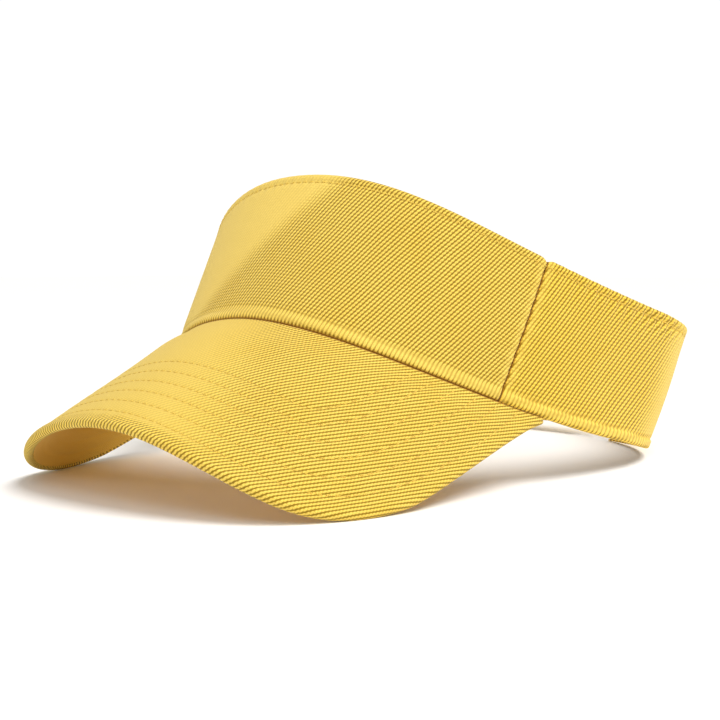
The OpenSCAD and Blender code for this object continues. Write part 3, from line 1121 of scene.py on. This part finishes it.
        # Painted shade: a dark line along the seams and, on the front, in the crease at the foot where the
        # band meets the brim; it is stored as negative values of the mask.
        dark = 0.9 * bell(edge, 0.3) + 0.0 * up
        if name.startswith("front"):
            dark = np.maximum(dark, 0.9 * (1.0 - ease((up + 1.3) / 1.0)))
        painted_light_and_wear = np.where(dark * face > 0.06, -dark * face, painted_light_and_wear)
        cloth = np.stack([self.eased(wide, name.startswith("front")), squeeze, painted_light_and_wear], axis=-1)
        flat = np.stack([wide, up, painted_light_and_wear], axis=-1)
        piece = sheet_piece(name, outer, inner, cloth, loose=b < a)
        return piece, flat

    def painted_light_and_wear(self, wide: np.ndarray, z: np.ndarray, front: bool) -> np.ndarray:
        """Painted highlight, from 0 to 1: where the ribs fade into the smooth flat colour as light washes
        them out, on the right of the front and at the rear.

        Args:
            wide: millimetres round the band.
            z: heights in the band's own frame.
            front: whether it is the front panel.

        Returns:
            The painted highlight at each place.
        """
        if front:
            faded_flat = ease((6.0 + (z - 55.0) * 0.95 - wide) / 13.0)
            return 0.9 * faded_flat * (1.0 - 0.8 * ease((-58.0 - wide) / 22.0))
        return 0.7 * ease((np.abs(wide) - 165.0) / 20.0)

    def eased(self, wide: np.ndarray, front: bool) -> np.ndarray:
        """The twill's own measure round the band; side panels are pulled slack towards the rear.

        Args:
            wide: millimetres round the band.
            front: whether it is the front panel.

        Returns:
            The measure that the ribs are drawn by.
        """
        if front:
            return wide
        start = float(BAND.arc(np.array(BAND.seam_top)))
        past = np.maximum(0.0, np.abs(wide) - start)
        near = np.minimum(past, 60.0)
        return np.sign(wide) * (start + near - 0.0035 * near**2 + 0.58 * (past - near))

    def relief(
        self, along: np.ndarray, up: np.ndarray, edge: np.ndarray, above: np.ndarray,
        below: np.ndarray, th: np.ndarray,
    ) -> np.ndarray:
        """The small sewn shapes of a panel's face.

        Args:
            along: millimetres round the band.
            up: millimetres up the cloth; not used.
            edge: millimetres from the nearest side seam.
            above: height above the foot.
            below: depth under the top edge.
            th: the angle round the band.

        Returns:
            How far out each point stands.
        """
        rng_wave = np.sin(above / 5.3 * TAU + 1.1 * np.sin(above / 17.0)) * 0.5 + 0.5
        pucker = -0.30 * bell(edge, 2.6) * rng_wave
        swell = 0.22 * bell(edge - 3.2, 2.4) * (1.0 - rng_wave * 0.6)
        stitch = -0.20 * bell(below - 3.2, 0.75)
        puff = 0.16 * bell(below - 1.5, 1.2)
        side = np.abs(th) > 60.0
        past = np.abs(th) - BAND.seam_top
        gather_at = bell(below - 3.5, 5.5) * ease(past / 2.5) * (1.0 - ease((past - 38.0) / 40.0))
        gather = 0.26 * np.sin(along / 5.1 * TAU + 1.7 * np.sin(along / 13.0)) * gather_at
        slight = 0.10 * np.sin(along / 4.3 * TAU + 1.2 * np.sin(along / 11.0)) * bell(below - 3.2, 2.6)
        strip = 0.50 * (1.0 - ease((above - self.side_strip + 0.7) / 0.8)) * ease((above + 0.3) / 0.6)
        tuck = -0.22 * bell(above - self.side_strip - 0.15, 0.7)
        ripple = 0.05 * np.sin(along / 6.2 * TAU + np.sin(along / 9.0)) * bell(above - self.side_strip, 2.0)
        low_side = np.where(side, strip + tuck + ripple, 0.0)
        front_low = np.where(side, 0.0, 0.30 * bell(above - 1.9, 1.4) - 0.16 * bell(above - 4.2, 1.2))
        return pucker + swell + stitch + puff + gather + slight + low_side + front_low

    def layer(
        self, name: str, low: float, high: float, out: float, inn: float, lift: float, drop: float,
        turned: bool,
    ) -> tuple:
        """Builds one flat inside layer between two angles.

        Args:
            name: the piece's name.
            low: the first angle.
            high: the last angle.
            out: the outer face's distance.
            inn: the inner face's distance.
            lift: how far it starts above the foot.
            drop: how far it stops under the top.
            turned: whether it runs the other way round.

        Returns:
            The new object and its cut coordinates.
        """
        th = np.linspace(low, high, 121)[:, None]
        q = np.linspace(0.0, 1.0, 26)[None, :]
        z0, z1 = BRIM.foot(th) + lift, BAND.top(th) - drop
        z = z0 + (z1 - z0) * q
        th = th + 0 * z
        cloth = np.stack([BAND.arc(th), z, 0 * z], axis=-1)
        piece = sheet_piece(name, self.skin(th, z, out), self.skin(th, z, inn), cloth, loose=turned)
        return piece, cloth

    def sweat_face(self, th: np.ndarray) -> np.ndarray:
        """Where the sweatband's outer face lies against the linings.

        Args:
            th: angles round the band, in degrees.

        Returns:
            The distances out of the outer face, all negative.
        """
        front = -(self.cloth + self.stiff + self.lining + 2 * self.gap)
        side = -(self.cloth + self.lining + self.gap)
        t = ease((np.abs(th) - BAND.seam_foot - 1.0) / 4.0)
        return front * (1.0 - t) + side * t - self.gap

    def sweatband(self) -> bpy.types.Object:
        """Builds the padded sweatband, rounded at both edges and pressed in under its stitching.

        Returns:
            The new object.
        """
        end = BAND.panel_end - 6.0
        th = np.linspace(-end, end, 361)[:, None]
        q = np.linspace(0.0, 1.0, 34)[None, :]
        wide = self.sweat_width - 1.0
        z = BRIM.foot(th) + 0.8 + wide * q
        th = th + 0 * z
        puff = np.sin(math.pi * np.clip(q, 0.0, 1.0)) ** 0.45
        dip = 0.7 * bell((q - 0.86) * wide, 1.1) + 0.35 * bell((q - 0.13) * wide, 1.0)
        along = BAND.arc(th)
        crease = 0.14 * np.sin(along / 7.5 * TAU + 2.0 * np.sin(along / 31.0)) * bell((q - 0.86) * wide, 5.0)
        thick = np.maximum(0.35, 0.4 + (self.sweat_thick - 0.4) * puff - dip + crease * puff)
        face = self.sweat_face(th)
        cloth = np.stack([along, wide * q + 0 * th, 0 * z], axis=-1)
        piece = sheet_piece("sweatband_pad", self.skin(th, z, face), self.skin(th, z, face - thick), cloth)
        return finish_piece(piece, "visor", "sweatband", Finish.SWEATBAND)

    def rows(self) -> None:
        """Sews the top edge and the sweatband."""
        end = BAND.panel_end - 2.0
        th = np.linspace(-end, end, 1501)
        z = BAND.top(th) - 3.2
        near = np.abs(np.abs(BAND.arc(th)) - float(BAND.arc(np.array(BAND.seam_top))))
        lift = self.relief(BAND.arc(th), z, near, z - BRIM.foot(th), 3.2 + 0 * z, th)
        path = self.skin(th, z, lift + 0.02)
        out = self.skin(th, z, lift + 1.0) - self.skin(th, z, lift)
        row = stitches("top_edge_thread", path, out, 2.9, 0.55, 0.2)
        finish_piece(row, "visor", "top_edge_stitching", Finish.THREAD)
        end = BAND.panel_end - 8.0
        th = np.linspace(-end, end, 1501)
        z = BRIM.foot(th) + 0.8 + (self.sweat_width - 1.0) * 0.86
        d = self.sweat_face(th) - (self.sweat_thick * 0.9 - 0.7)
        path, out = self.skin(th, z, d), self.skin(th, z, d - 1.0) - self.skin(th, z, d)
        row = stitches("sweatband_thread", path, out, 3.1, 0.6, 0.24)
        finish_piece(row, "visor", "sweatband_stitching", Finish.THREAD)

    def build(self) -> None:
        """Builds every piece of the band."""
        front_in, side_in = self.layers()
        for name, node, low, high, columns, inn in (
            ("front_panel_cloth", "front_panel", -1, 1, 230, front_in),
            ("left_side_panel_cloth", "left_side_panel", 1, 2, 150, side_in),
            ("right_side_panel_cloth", "right_side_panel", -1, -2, 150, side_in),
        ):
            piece, cloth = self.panel(name, low, high, columns, inn)
            cut(cloth)
            twill = Finish.FRONT_TWILL if low == -1 and high == 1 else Finish.SIDE_TWILL
            finish_piece(piece, "visor", node, twill)
        a, b = BAND.seam_top, BAND.seam_foot
        stiff_out = -(self.cloth + self.gap)
        stiff_in = stiff_out - self.stiff
        lin_out = stiff_in - self.gap
        for name, node, low, high, out, thick, lift, drop, turned, slot, finish in (
            ("front_interlining", "front_stiffener", -a + 1.2, a - 1.2, stiff_out, self.stiff,
             1.6, 2.2, False, "stiffener", Finish.STIFFENER),
            ("front_lining_cloth", "front_lining", -a + 1.2, a - 1.2, lin_out, self.lining,
             1.2, 2.2, False, "lining", Finish.LINING),
            ("left_side_lining_cloth", "left_side_lining", b + 1.0, BAND.panel_end - 0.3, stiff_out,
             self.lining, 1.6, 1.8, False, "lining", Finish.LINING),
            ("right_side_lining_cloth", "right_side_lining", -b - 1.0, -BAND.panel_end + 0.3, stiff_out,
             self.lining, 1.6, 1.8, True, "lining", Finish.LINING),
        ):
            piece, cloth = self.layer(name, low, high, out, out - thick, lift, drop, turned)
            cut(cloth)
            finish_piece(piece, "visor", node, finish)
        self.sweatband()
        self.rows()


# ---------------------------------------------------------------- the brim


@dataclass
class Brim:
    """The curved brim: top cover, board, under cover, seam allowance and stitching rows."""

    cloth: float = 0.6
    rim: float = 1.75
    first_row: float = 7.0
    row_pitch: float = 6.0
    row_count: int = 6
    groove: float = 0.26
    columns: int = 261
    rows: int = 132

    def outline(self) -> np.ndarray:
        """Closely spaced points of the outline, across and down the brim.

        Returns:
            One row of two numbers for each point.
        """
        t = np.linspace(-89.0, 89.0, 2401)
        p = 2.0 / BRIM.outline_power
        reach = BRIM.length + BRIM.outline_back
        u = BRIM.half_width * signed_power(np.sin(np.radians(t)), p)
        v = -BRIM.outline_back + reach * np.cos(np.radians(t)) ** p
        return np.stack([u, v], axis=-1)

    def inset(self, uv: np.ndarray) -> np.ndarray:
        """How far each place lies inside the outline.

        Args:
            uv: places across and down the brim.

        Returns:
            The distances, in millimetres.
        """
        line = self.outline()
        flat = uv.reshape(-1, 2)
        out = np.empty(len(flat))
        for i in range(0, len(flat), 4000):
            part = flat[i : i + 4000]
            gap = ((part[:, None, :] - line[None, :, :]) ** 2).sum(axis=-1)
            out[i : i + 4000] = np.sqrt(gap.min(axis=1))
        return out.reshape(uv.shape[:-1])

    def row_bells(self, inset: np.ndarray) -> np.ndarray:
        """A bell on each stitch row.

        Args:
            inset: how far each place lies inside the outline.

        Returns:
            The bells' sum at each place.
        """
        total = np.zeros_like(inset)
        for i in range(self.row_count):
            total += bell(inset - self.first_row - i * self.row_pitch, 0.85)
        return total

    def grooves(self, inset: np.ndarray, dist: np.ndarray) -> np.ndarray:
        """How far the sewn rows pull the cover down.

        Args:
            inset: how far each place lies inside the outline.
            dist: how far each place lies from the seam with the band.

        Returns:
            The distances, all negative.
        """
        return -self.groove * self.row_bells(inset) * ease((dist - 1.0) / 3.0)

    def grid(self, end_inset: float) -> tuple[np.ndarray, np.ndarray, np.ndarray, np.ndarray]:
        """The cover's flat layout, column by column from the seam to near the outline.

        Args:
            end_inset: how far inside the outline it stops.

        Returns:
            Each point's place, its distance from the seam, each column's end on the outline
            and the direction out of the outline there.
        """
        end = BRIM.join_end()
        f = np.linspace(-1.0, 1.0, self.columns)
        th = end * (np.sin(f * math.pi / 2.0) * 0.35 + f * 0.65)
        q = BRIM.seam_line(th)
        e = np.stack([q[:, 0], BRIM.edge_down(q[:, 0])], axis=-1)
        out = BRIM.edge_out(e[:, 0], e[:, 1])
        tip = ease((np.abs(th) - end + 7.0) / 7.0)[:, None]
        e = e + (q + out * self.rim * 1.15 - e) * tip * 0.85
        c = e - end_inset * out
        k = np.linspace(0.0, 1.0, self.rows)[None, :, None] ** 0.93
        first = (0.1 / np.linalg.norm(c - q, axis=-1))[:, None, None]
        p = q[:, None, :] + (c - q)[:, None, :] * (first + (1.0 - first) * k)
        dist = np.linalg.norm(p - q[:, None, :], axis=-1)
        return p, dist, e, out

    def lumps(self, uv: np.ndarray) -> np.ndarray:
        """Slow unevenness of the cover and the board together."""
        return 0.35 * soft_wave(uv[..., 0], uv[..., 1], 5, 70.0)

    def lay(self, uv: np.ndarray, dist: np.ndarray, o: np.ndarray) -> np.ndarray:
        """Points of a brim layer, in metres."""
        fade = ease(dist / 12.0)
        return SEAT.place(BRIM.point(uv[..., 0], uv[..., 1], o + BRIM.sink(dist) + self.lumps(uv) * fade))

    def cloth_of(self, uv: np.ndarray, inset: np.ndarray, dist: np.ndarray) -> np.ndarray:
        """Each place on the cut cloth, whose ribs bend a little to the left, and its painted light: a
        highlight towards the brim's right and shade at the seam.

        Args:
            uv: places across and down the brim.
            inset: how far each place lies inside the outline.
            dist: how far each place lies from the seam with the band.

        Returns:
            Along the cloth, up the cloth, and the painted light.
        """
        u, v = uv[..., 0], uv[..., 1]
        past = np.maximum(0.0, u - 40.0)
        # Painted highlight: the ribs fade flat towards the brim's right, less so near the right wing's end.
        painted_light_and_wear = 0.84 * ease((22.0 + 0.45 * v - u) / 34.0) * ease((inset - 3.4) / 2.6)
        painted_light_and_wear = painted_light_and_wear * (1.0 - 0.75 * ease((-48.0 - u) / 26.0))
        # Painted shade: a dark line where the brim meets the band, stored as negative values of the mask.
        dark = 0.85 * (1.0 - ease((dist - 0.1) / 0.8))
        painted_light_and_wear = np.where(dark > 0.03, -dark, painted_light_and_wear)
        return np.stack([u + 0.0022 * past**2, v, painted_light_and_wear], axis=-1)

    def top_cover(self) -> None:
        """Builds the top cover, round the rim to the under side."""
        uv, dist, e, out = self.grid(self.rim)
        inset = self.inset(uv)
        high = BRIM.top_high + (self.rim - BRIM.top_high) * (1.0 - ease((inset - self.rim) / 4.5))
        o = high + self.grooves(inset, dist)
        s = np.radians(np.linspace(90.0, -118.0, 19)[1:])[None, :, None]
        c = e - self.rim * out
        last = dist[:, -1:]
        faces = []
        for r, face in ((self.rim, o), (self.rim - self.cloth, o - self.cloth)):
            ring = c[:, None, :] + r * np.cos(s) * out[:, None, :]
            rise = (r * np.sin(s))[..., 0]
            under = s[..., 0] < math.radians(-90.0)
            rise = np.where(under, rise + 0.3 * (s[..., 0] + math.pi / 2) * -1.0, rise)
            body = self.lay(uv, dist, face)
            rim = self.lay(ring, last + 0 * rise, rise + 0 * ring[..., 0])
            faces.append(np.concatenate([body, rim], axis=1))
        roll = c[:, None, :] + out[:, None, :] * (self.rim * (math.pi / 2.0 - s)) * 0.8
        flat = np.concatenate([uv, roll], axis=1)
        rim_inset = self.rim * (1.0 - np.cos(s[..., 0])) + 0.0 * ring[..., 0]
        whole = np.concatenate([inset, rim_inset], axis=1)
        cloth = self.cloth_of(flat, whole, np.concatenate([dist, last + 0.0 * rim_inset], axis=1))
        piece = sheet_piece("brim_top_cloth", faces[0], faces[1], cloth, loose=True)
        cut(cloth)
        finish_piece(piece, "visor", "brim_top_cover", Finish.BRIM_TWILL)

    def under_cover(self) -> None:
        """Builds the plain under cover, tucked up at the rim."""
        uv, dist, _e, _out = self.grid(self.rim + 0.25)
        inset = self.inset(uv)
        tuck = 0.35 * bell(inset - self.rim, 0.6)
        seams = self.row_bells(inset)
        drop = 0.28 * (1.0 - ease((inset - self.rim) / 5.0))
        o = BRIM.under_low - drop + tuck + 0.18 * seams * ease((dist - 1.0) / 3.0)
        cloth = self.cloth_of(uv, inset, dist + 2.0)
        # Painted light: the under face's ribs show paler towards the right wing's tip and fade into the
        # browner flat colour further in, where shade falls.
        cloth[..., 2] = 0.92 - 0.6 * ease((-58.0 - uv[..., 0]) / 42.0)
        inner = self.lay(uv, dist, o + self.cloth)
        piece = sheet_piece("brim_under_cloth", inner, self.lay(uv, dist, o), cloth, loose=True)
        cut(cloth)
        finish_piece(piece, "visor", "brim_bottom_cover", Finish.UNDER_TWILL)

    def board(self) -> None:
        """Builds the board with eased edges, between the covers."""
        uv, dist, _e, _out = self.grid(self.rim + 0.5)
        inset = self.inset(uv)
        half = 0.74 * np.sqrt(np.clip(1.0 - (1.0 - ease((inset - self.rim) / 1.6)) ** 2 * 0.6, 0.1, 1.0))
        cloth = np.stack([uv[..., 0], uv[..., 1], 0 * dist], axis=-1)
        top, low = self.lay(uv, dist, half - 0.02), self.lay(uv, dist, -half + 0.02)
        piece = sheet_piece("brim_board_sheet", top[::2, ::3], low[::2, ::3], cloth[::2, ::3], loose=True)
        finish_piece(piece, "visor", "brim_board", Finish.BOARD)

    def tape(self) -> None:
        """Builds the turned seam allowance in the wedge behind the band's foot."""
        end = BRIM.join_end() - 1.0
        th = np.linspace(-end, end, 241)
        z = BRIM.foot(th)
        c = BAND.wall(th, z)
        inward = -BAND.out(th, z)
        down = -BRIM.out(BRIM.seam_line(th)[:, 0])
        r = np.array([2.4, 2.0, 1.6, 1.2, 0.8, 0.5])[None, :, None]
        frill = 1.0 + 0.05 * np.sin(BAND.arc(th) / 3.7 * TAU)[:, None, None] * (r / 2.4)
        faces = []
        for share in (0.76, 0.24):
            way = unit(inward * (1.0 - share) + down * share)[:, None, :]
            faces.append(SEAT.place(c[:, None, :] + r * frill * way))
        cloth = np.stack(np.broadcast_arrays(BAND.arc(th)[:, None], r[..., 0], 0.0 * r[..., 0]), axis=-1)
        piece = sheet_piece("brim_seam_cloth", faces[0], faces[1], cloth, loose=False)
        finish_piece(piece, "visor", "brim_seam_tape", Finish.TAPE)

    def stitching(self) -> None:
        """Sews the rows that follow the outline."""
        ths = np.linspace(0.0, BRIM.join_end(), 121)
        join = BRIM.seam_line(ths)
        line = self.outline()
        way = BRIM.edge_out(line[:, 0], line[:, 1])
        for i in range(self.row_count):
            p = line - (self.first_row + i * self.row_pitch) * way
            dist = p[:, 1] - np.interp(np.abs(p[:, 0]), join[:, 0], join[:, 1])
            keep = (dist > 2.2) & (np.abs(p[:, 0]) < join[-1, 0])
            p, dist = p[keep], dist[keep]
            steps = np.concatenate([[0.0], np.cumsum(np.linalg.norm(np.diff(p, axis=0), axis=1))])
            even = np.linspace(0.0, steps[-1], 1600)
            p = np.stack([np.interp(even, steps, p[:, k]) for k in range(2)], axis=-1)
            dist = np.interp(even, steps, dist)
            o = BRIM.top_high - self.groove * ease((dist - 1.0) / 3.0)
            path = self.lay(p, dist, o + 0.03)
            out = self.lay(p, dist, o + 1.0) - self.lay(p, dist, o)
            row = stitches(f"brim_thread_row_{i + 1}", path, out, 3.0, 0.7, 0.17)
            finish_piece(row, "visor", f"brim_stitch_row_{i + 1}", Finish.THREAD)

    def build(self) -> None:
        """Builds every piece of the brim."""
        self.top_cover()
        self.under_cover()
        self.board()
        self.tape()
        self.stitching()


# ---------------------------------------------------------------- the closure


@dataclass
class Closure:
    """The two rear straps with their hook and loop patches."""

    thick: float = 1.6
    patch: float = 0.8
    patch_gap: float = 0.4
    patch_width: float = 22.0
    outer_reach: float = 23.0
    inner_reach: float = 16.0
    root_gap: float = 0.2
    gap: float = 0.05

    def middle(self) -> float:
        """The height of the straps' middle."""
        return BAND.strap_low() + BAND.strap_width / 2.0

    def stack(self) -> float:
        """How far out the outer strap's inner face lies over the patches."""
        return 2 * self.patch + self.patch_gap + self.gap

    def tip_angle(self, outer: bool) -> float:
        """The angle round the band at a strap's tip."""
        return 180.0 + (self.outer_reach if outer else self.inner_reach)

    def body(self, outer: bool) -> str:
        """The body that a strap's pieces move with."""
        return "outer_strap_body" if outer else "inner_strap_body"

    def run(self, turn: "np.ndarray | float") -> "np.ndarray | float":
        """Millimetres along a strap for an angle round the band."""
        return turn * math.pi / 180.0 * BAND.back_depth

    def mid(self, outer: bool, th: np.ndarray) -> np.ndarray:
        """The strap's middle, as a distance out of the band.

        Args:
            outer: whether it is the outer strap.
            th: angles round the band, in degrees.

        Returns:
            The distances, in millimetres.
        """
        if not outer:
            return -self.thick / 2.0 - self.gap + 0 * th
        t = ease((th - BAND.panel_end - 1.0) / 10.0)
        return (-self.thick / 2.0 - 0.05) * (1.0 - t) + (self.stack() + self.thick / 2.0) * t

    def side(self, outer: bool, p: np.ndarray) -> np.ndarray:
        """Mirrors the inner strap's points to the wearer's right."""
        return p if outer else p * np.array([-1.0, 1.0, 1.0])

    def strap(self, outer: bool) -> None:
        """Builds one strap, folded and pressed, with a rounded tip.

        Args:
            outer: whether it is the outer strap.
        """
        root = self.root_gap / BAND.back_depth * 180.0 / math.pi
        end = self.tip_angle(outer)
        f = np.linspace(0.0, 1.0, 141)[:, None]
        th = BAND.panel_end + root + (end - BAND.panel_end - root) * (1.0 - (1.0 - f) ** 1.7)
        reach = np.clip(self.run(end - th), 0.0, 7.0)
        half = BAND.strap_width / 2.0 - 7.0 + np.sqrt(np.maximum(0.0, 49.0 - (7.0 - reach) ** 2))
        k = np.sin(np.linspace(-1.0, 1.0, 57) * math.pi / 2.0)[None, :]
        z = self.middle() + k * half
        th = th + 0 * z
        across = (1.0 - np.abs(k)) * half
        tip = self.run(end - th)
        near = np.minimum(across, tip + 0.02)
        round_off = np.sqrt(np.clip(1.0 - (1.0 - np.clip(near / 0.8, 0.0, 1.0)) ** 2, 0.03, 1.0))
        h = self.thick / 2.0 * round_off - 0.12 * bell(near - 2.4, 0.7)
        mid = self.mid(outer, th)
        cloth = np.stack([self.run(th - BAND.panel_end), z, 0.3 + 0 * z], axis=-1)
        faces = [self.side(outer, SEAT.place(BAND.skin(th, z, mid + w * h))) for w in (1.0, -1.0)]
        name, node = ("outer_strap_cloth", "outer_strap") if outer else ("inner_strap_cloth", "inner_strap")
        piece = sheet_piece(name, faces[0], faces[1], cloth, loose=not outer)
        cut(cloth)
        finish_piece(piece, self.body(outer), node, Finish.SIDE_TWILL)

    def patch_piece(self, outer: bool) -> None:
        """Builds the hook patch or the loop patch, with eased edges and a ragged pile.

        Args:
            outer: whether it is the outer strap's hook patch.
        """
        end = self.tip_angle(outer)
        low, high = (end - 25.0, end - 3.0) if outer else (BAND.panel_end + 5.0, end - 3.0)
        out, inn = (self.stack() - self.gap, self.patch + self.patch_gap) if outer else (self.patch, 0.0)
        th = np.linspace(low, high, 101)[:, None]
        k = np.linspace(-1.0, 1.0, 67)[None, :]
        z = self.middle() + k * self.patch_width / 2.0
        th, z = np.broadcast_arrays(th, z)
        along, wide = self.run(th - low), self.run(high - low)
        edge = np.minimum((1.0 - np.abs(k)) * self.patch_width / 2.0, np.minimum(along, wide - along))
        body = ease(edge / 1.3)
        rows = np.sin(along / 1.35 * TAU) * np.sin(z / 1.35 * TAU)
        pile = body * (0.10 * rows + 0.06 * soft_wave(along, z, 3, 6.0))
        thin = (1.0 - body) * (out - inn) * 0.45
        if outer:
            outer_d, inner_d = out + 0 * z, inn + thin + np.maximum(pile, -0.05) + 0.05
        else:
            outer_d, inner_d = out - thin + np.minimum(pile, 0.05) - 0.05, inn + 0 * z
        faces = [self.side(outer, SEAT.place(BAND.skin(th, z, d))) for d in (outer_d, inner_d)]
        cloth = np.stack([along, z, 0 * z], axis=-1)
        name, node, finish = (
            ("hook_tape_patch", "hook_patch", Finish.HOOK) if outer
            else ("loop_tape_patch", "loop_patch", Finish.LOOP)
        )
        piece = sheet_piece(name, faces[0], faces[1], cloth, loose=not outer)
        cut(cloth)
        finish_piece(piece, self.body(outer), node, finish)

    def box_stitching(self, outer: bool) -> None:
        """Sews the patch to its strap, round its edge.

        Args:
            outer: whether it is on the outer strap.
        """
        end = self.tip_angle(outer)
        low, high = (end - 24.3, end - 3.7) if outer else (BAND.panel_end + 5.8, end - 3.8)
        half = self.patch_width / 2.0 - 1.2
        d, way = (self.stack() + self.thick, 1.0) if outer else (-self.thick - self.gap, -1.0)
        t = np.linspace(0.0, 1.0, 400)
        th = np.concatenate([low + (high - low) * t, high + 0 * t, high + (low - high) * t, low + 0 * t])
        up = np.concatenate([-half + 0 * t, -half + 2 * half * t, half + 0 * t, half - 2 * half * t])
        z = self.middle() + up
        place = SEAT.place(BAND.skin(th, z, d + way * 0.03 + 0 * z))
        far = SEAT.place(BAND.skin(th, z, d + way + 0 * z))
        path, out = self.side(outer, place), self.side(outer, far) - self.side(outer, place)
        node = "outer_strap_stitching" if outer else "inner_strap_stitching"
        row = stitches(node.replace("stitching", "thread"), path, out, 2.7, 0.5, 0.22)
        finish_piece(row, self.body(outer), node, Finish.THREAD)

    def build(self) -> None:
        """Builds both straps with their patches and stitching."""
        for outer in (True, False):
            self.strap(outer)
            self.patch_piece(outer)
            self.box_stitching(outer)


# ---------------------------------------------------------------- the studio


@dataclass
class Studio:
    """A white sweep under soft light, seen low from the wearer's front left."""

    azimuth: float = 41.07
    elevation: float = 4.27
    distance: float = 512.6
    across: float = -30.87
    up: float = 35.50
    lens: float = 64.375
    aim_back: float = 39.03
    aim_down: float = 0.26
    sun_strength: float = 2.78
    sun_spread: float = 36.0
    sun_from: tuple = (0.55, 0.14, 1.0)
    glow_strength: float = 0.335
    backdrop_strength: float = 1.05

    def camera(self) -> None:
        """Places the camera."""
        az, el = math.radians(self.azimuth), math.radians(self.elevation)
        back = Vector((math.sin(az) * math.cos(el), -math.cos(az) * math.cos(el), math.sin(el)))
        right = Vector((math.cos(az), math.sin(az), 0.0))
        top = back.cross(right)
        aim = Vector((0.0, self.aim_back, -self.aim_down))
        at = right * self.across + top * self.up + back * self.distance + aim
        data = bpy.data.cameras.new("camera")
        data.lens, data.sensor_width, data.clip_start = self.lens, 36.0, 0.01
        camera = bpy.data.objects.new("camera", data)
        turn = Matrix((right, top, back)).transposed().to_4x4()
        camera.matrix_world = Matrix.Translation(at * MM) @ turn
        bpy.context.collection.objects.link(camera)
        bpy.context.scene.camera = camera

    def lamp(self, name: str, at: tuple, size: float, watts: float, colour: tuple) -> None:
        """Adds a soft square light that points at the visor.

        Args:
            name: the light's name.
            at: its place in metres.
            size: its side in metres.
            watts: its power.
            colour: its colour.
        """
        data = bpy.data.lights.new(name, "AREA")
        data.size, data.energy, data.color = size, watts, colour
        lamp = bpy.data.objects.new(name, data)
        lamp.location = at
        lamp.rotation_euler = (Vector((0.0, 0.0, 0.04)) - Vector(at)).to_track_quat("-Z", "Y").to_euler()
        bpy.context.collection.objects.link(lamp)

    def overhead(self) -> None:
        """Hangs one very broad light above and a little behind."""
        data = bpy.data.lights.new("overhead", "SUN")
        data.energy, data.angle = self.sun_strength, math.radians(self.sun_spread)
        data.color = (1.0, 0.99, 0.975)
        lamp = bpy.data.objects.new("overhead", data)
        lamp.rotation_euler = (-Vector(self.sun_from)).to_track_quat("-Z", "Y").to_euler()
        bpy.context.collection.objects.link(lamp)

    def floor(self) -> None:
        """Lays the sweep."""
        n = 41
        x = np.linspace(-1.0, 1.0, n)
        spread = np.sign(x) * np.abs(x) ** 2.0 * 6.0
        gx, gy = np.meshgrid(spread, spread, indexing="ij")
        points = np.stack([gx, gy, 0 * gx], axis=-1)
        cloth = np.stack([gx, gy, 0 * gx], axis=-1)
        piece = add_piece("sweep", points, grid_faces(n, n, 0, False), cloth)
        DRESSER.give(piece, Finish.PAPER)

    def sky(self) -> None:
        """Surrounds the visor with even white light, a little dimmer than it looks."""
        world = bpy.data.worlds.new("studio")
        world.use_nodes = True
        tree = world.node_tree
        tree.nodes.clear()
        seen = tree.nodes.new("ShaderNodeBackground")
        seen.inputs["Color"].default_value = (1.0, 1.0, 1.0, 1.0)
        seen.inputs["Strength"].default_value = self.backdrop_strength
        glow = tree.nodes.new("ShaderNodeBackground")
        glow.inputs["Color"].default_value = (1.0, 0.99, 0.98, 1.0)
        glow.inputs["Strength"].default_value = self.glow_strength
        path = tree.nodes.new("ShaderNodeLightPath")
        mix = tree.nodes.new("ShaderNodeMixShader")
        out = tree.nodes.new("ShaderNodeOutputWorld")
        tree.links.new(path.outputs["Is Camera Ray"], mix.inputs[0])
        tree.links.new(glow.outputs[0], mix.inputs[1])
        tree.links.new(seen.outputs[0], mix.inputs[2])
        tree.links.new(mix.outputs[0], out.inputs["Surface"])
        bpy.context.scene.world = world

    def build(self) -> None:
        """Sets up the view, the lights and the floor."""
        scene = bpy.context.scene
        scene.view_settings.view_transform = "Standard"
        self.camera()
        self.floor()
        self.sky()
        self.overhead()
        self.lamp("fill", (1.0, -0.75, 1.05), 0.8, 6.0, (1.0, 0.99, 0.98))
        self.lamp("low_fill", (-0.72, -1.05, 0.2), 0.6, 3.6, (1.0, 0.99, 0.98))


def main() -> None:
    """Builds the studio and each sub-assembly, and reports them."""
    logging.basicConfig(level=logging.INFO, format="%(name)s %(message)s")
    for part in (Studio(), Band(), Brim(), Closure()):
        part.build()
        LOG.info("%s built", type(part).__name__)


if __name__ == "__main__":
    main()
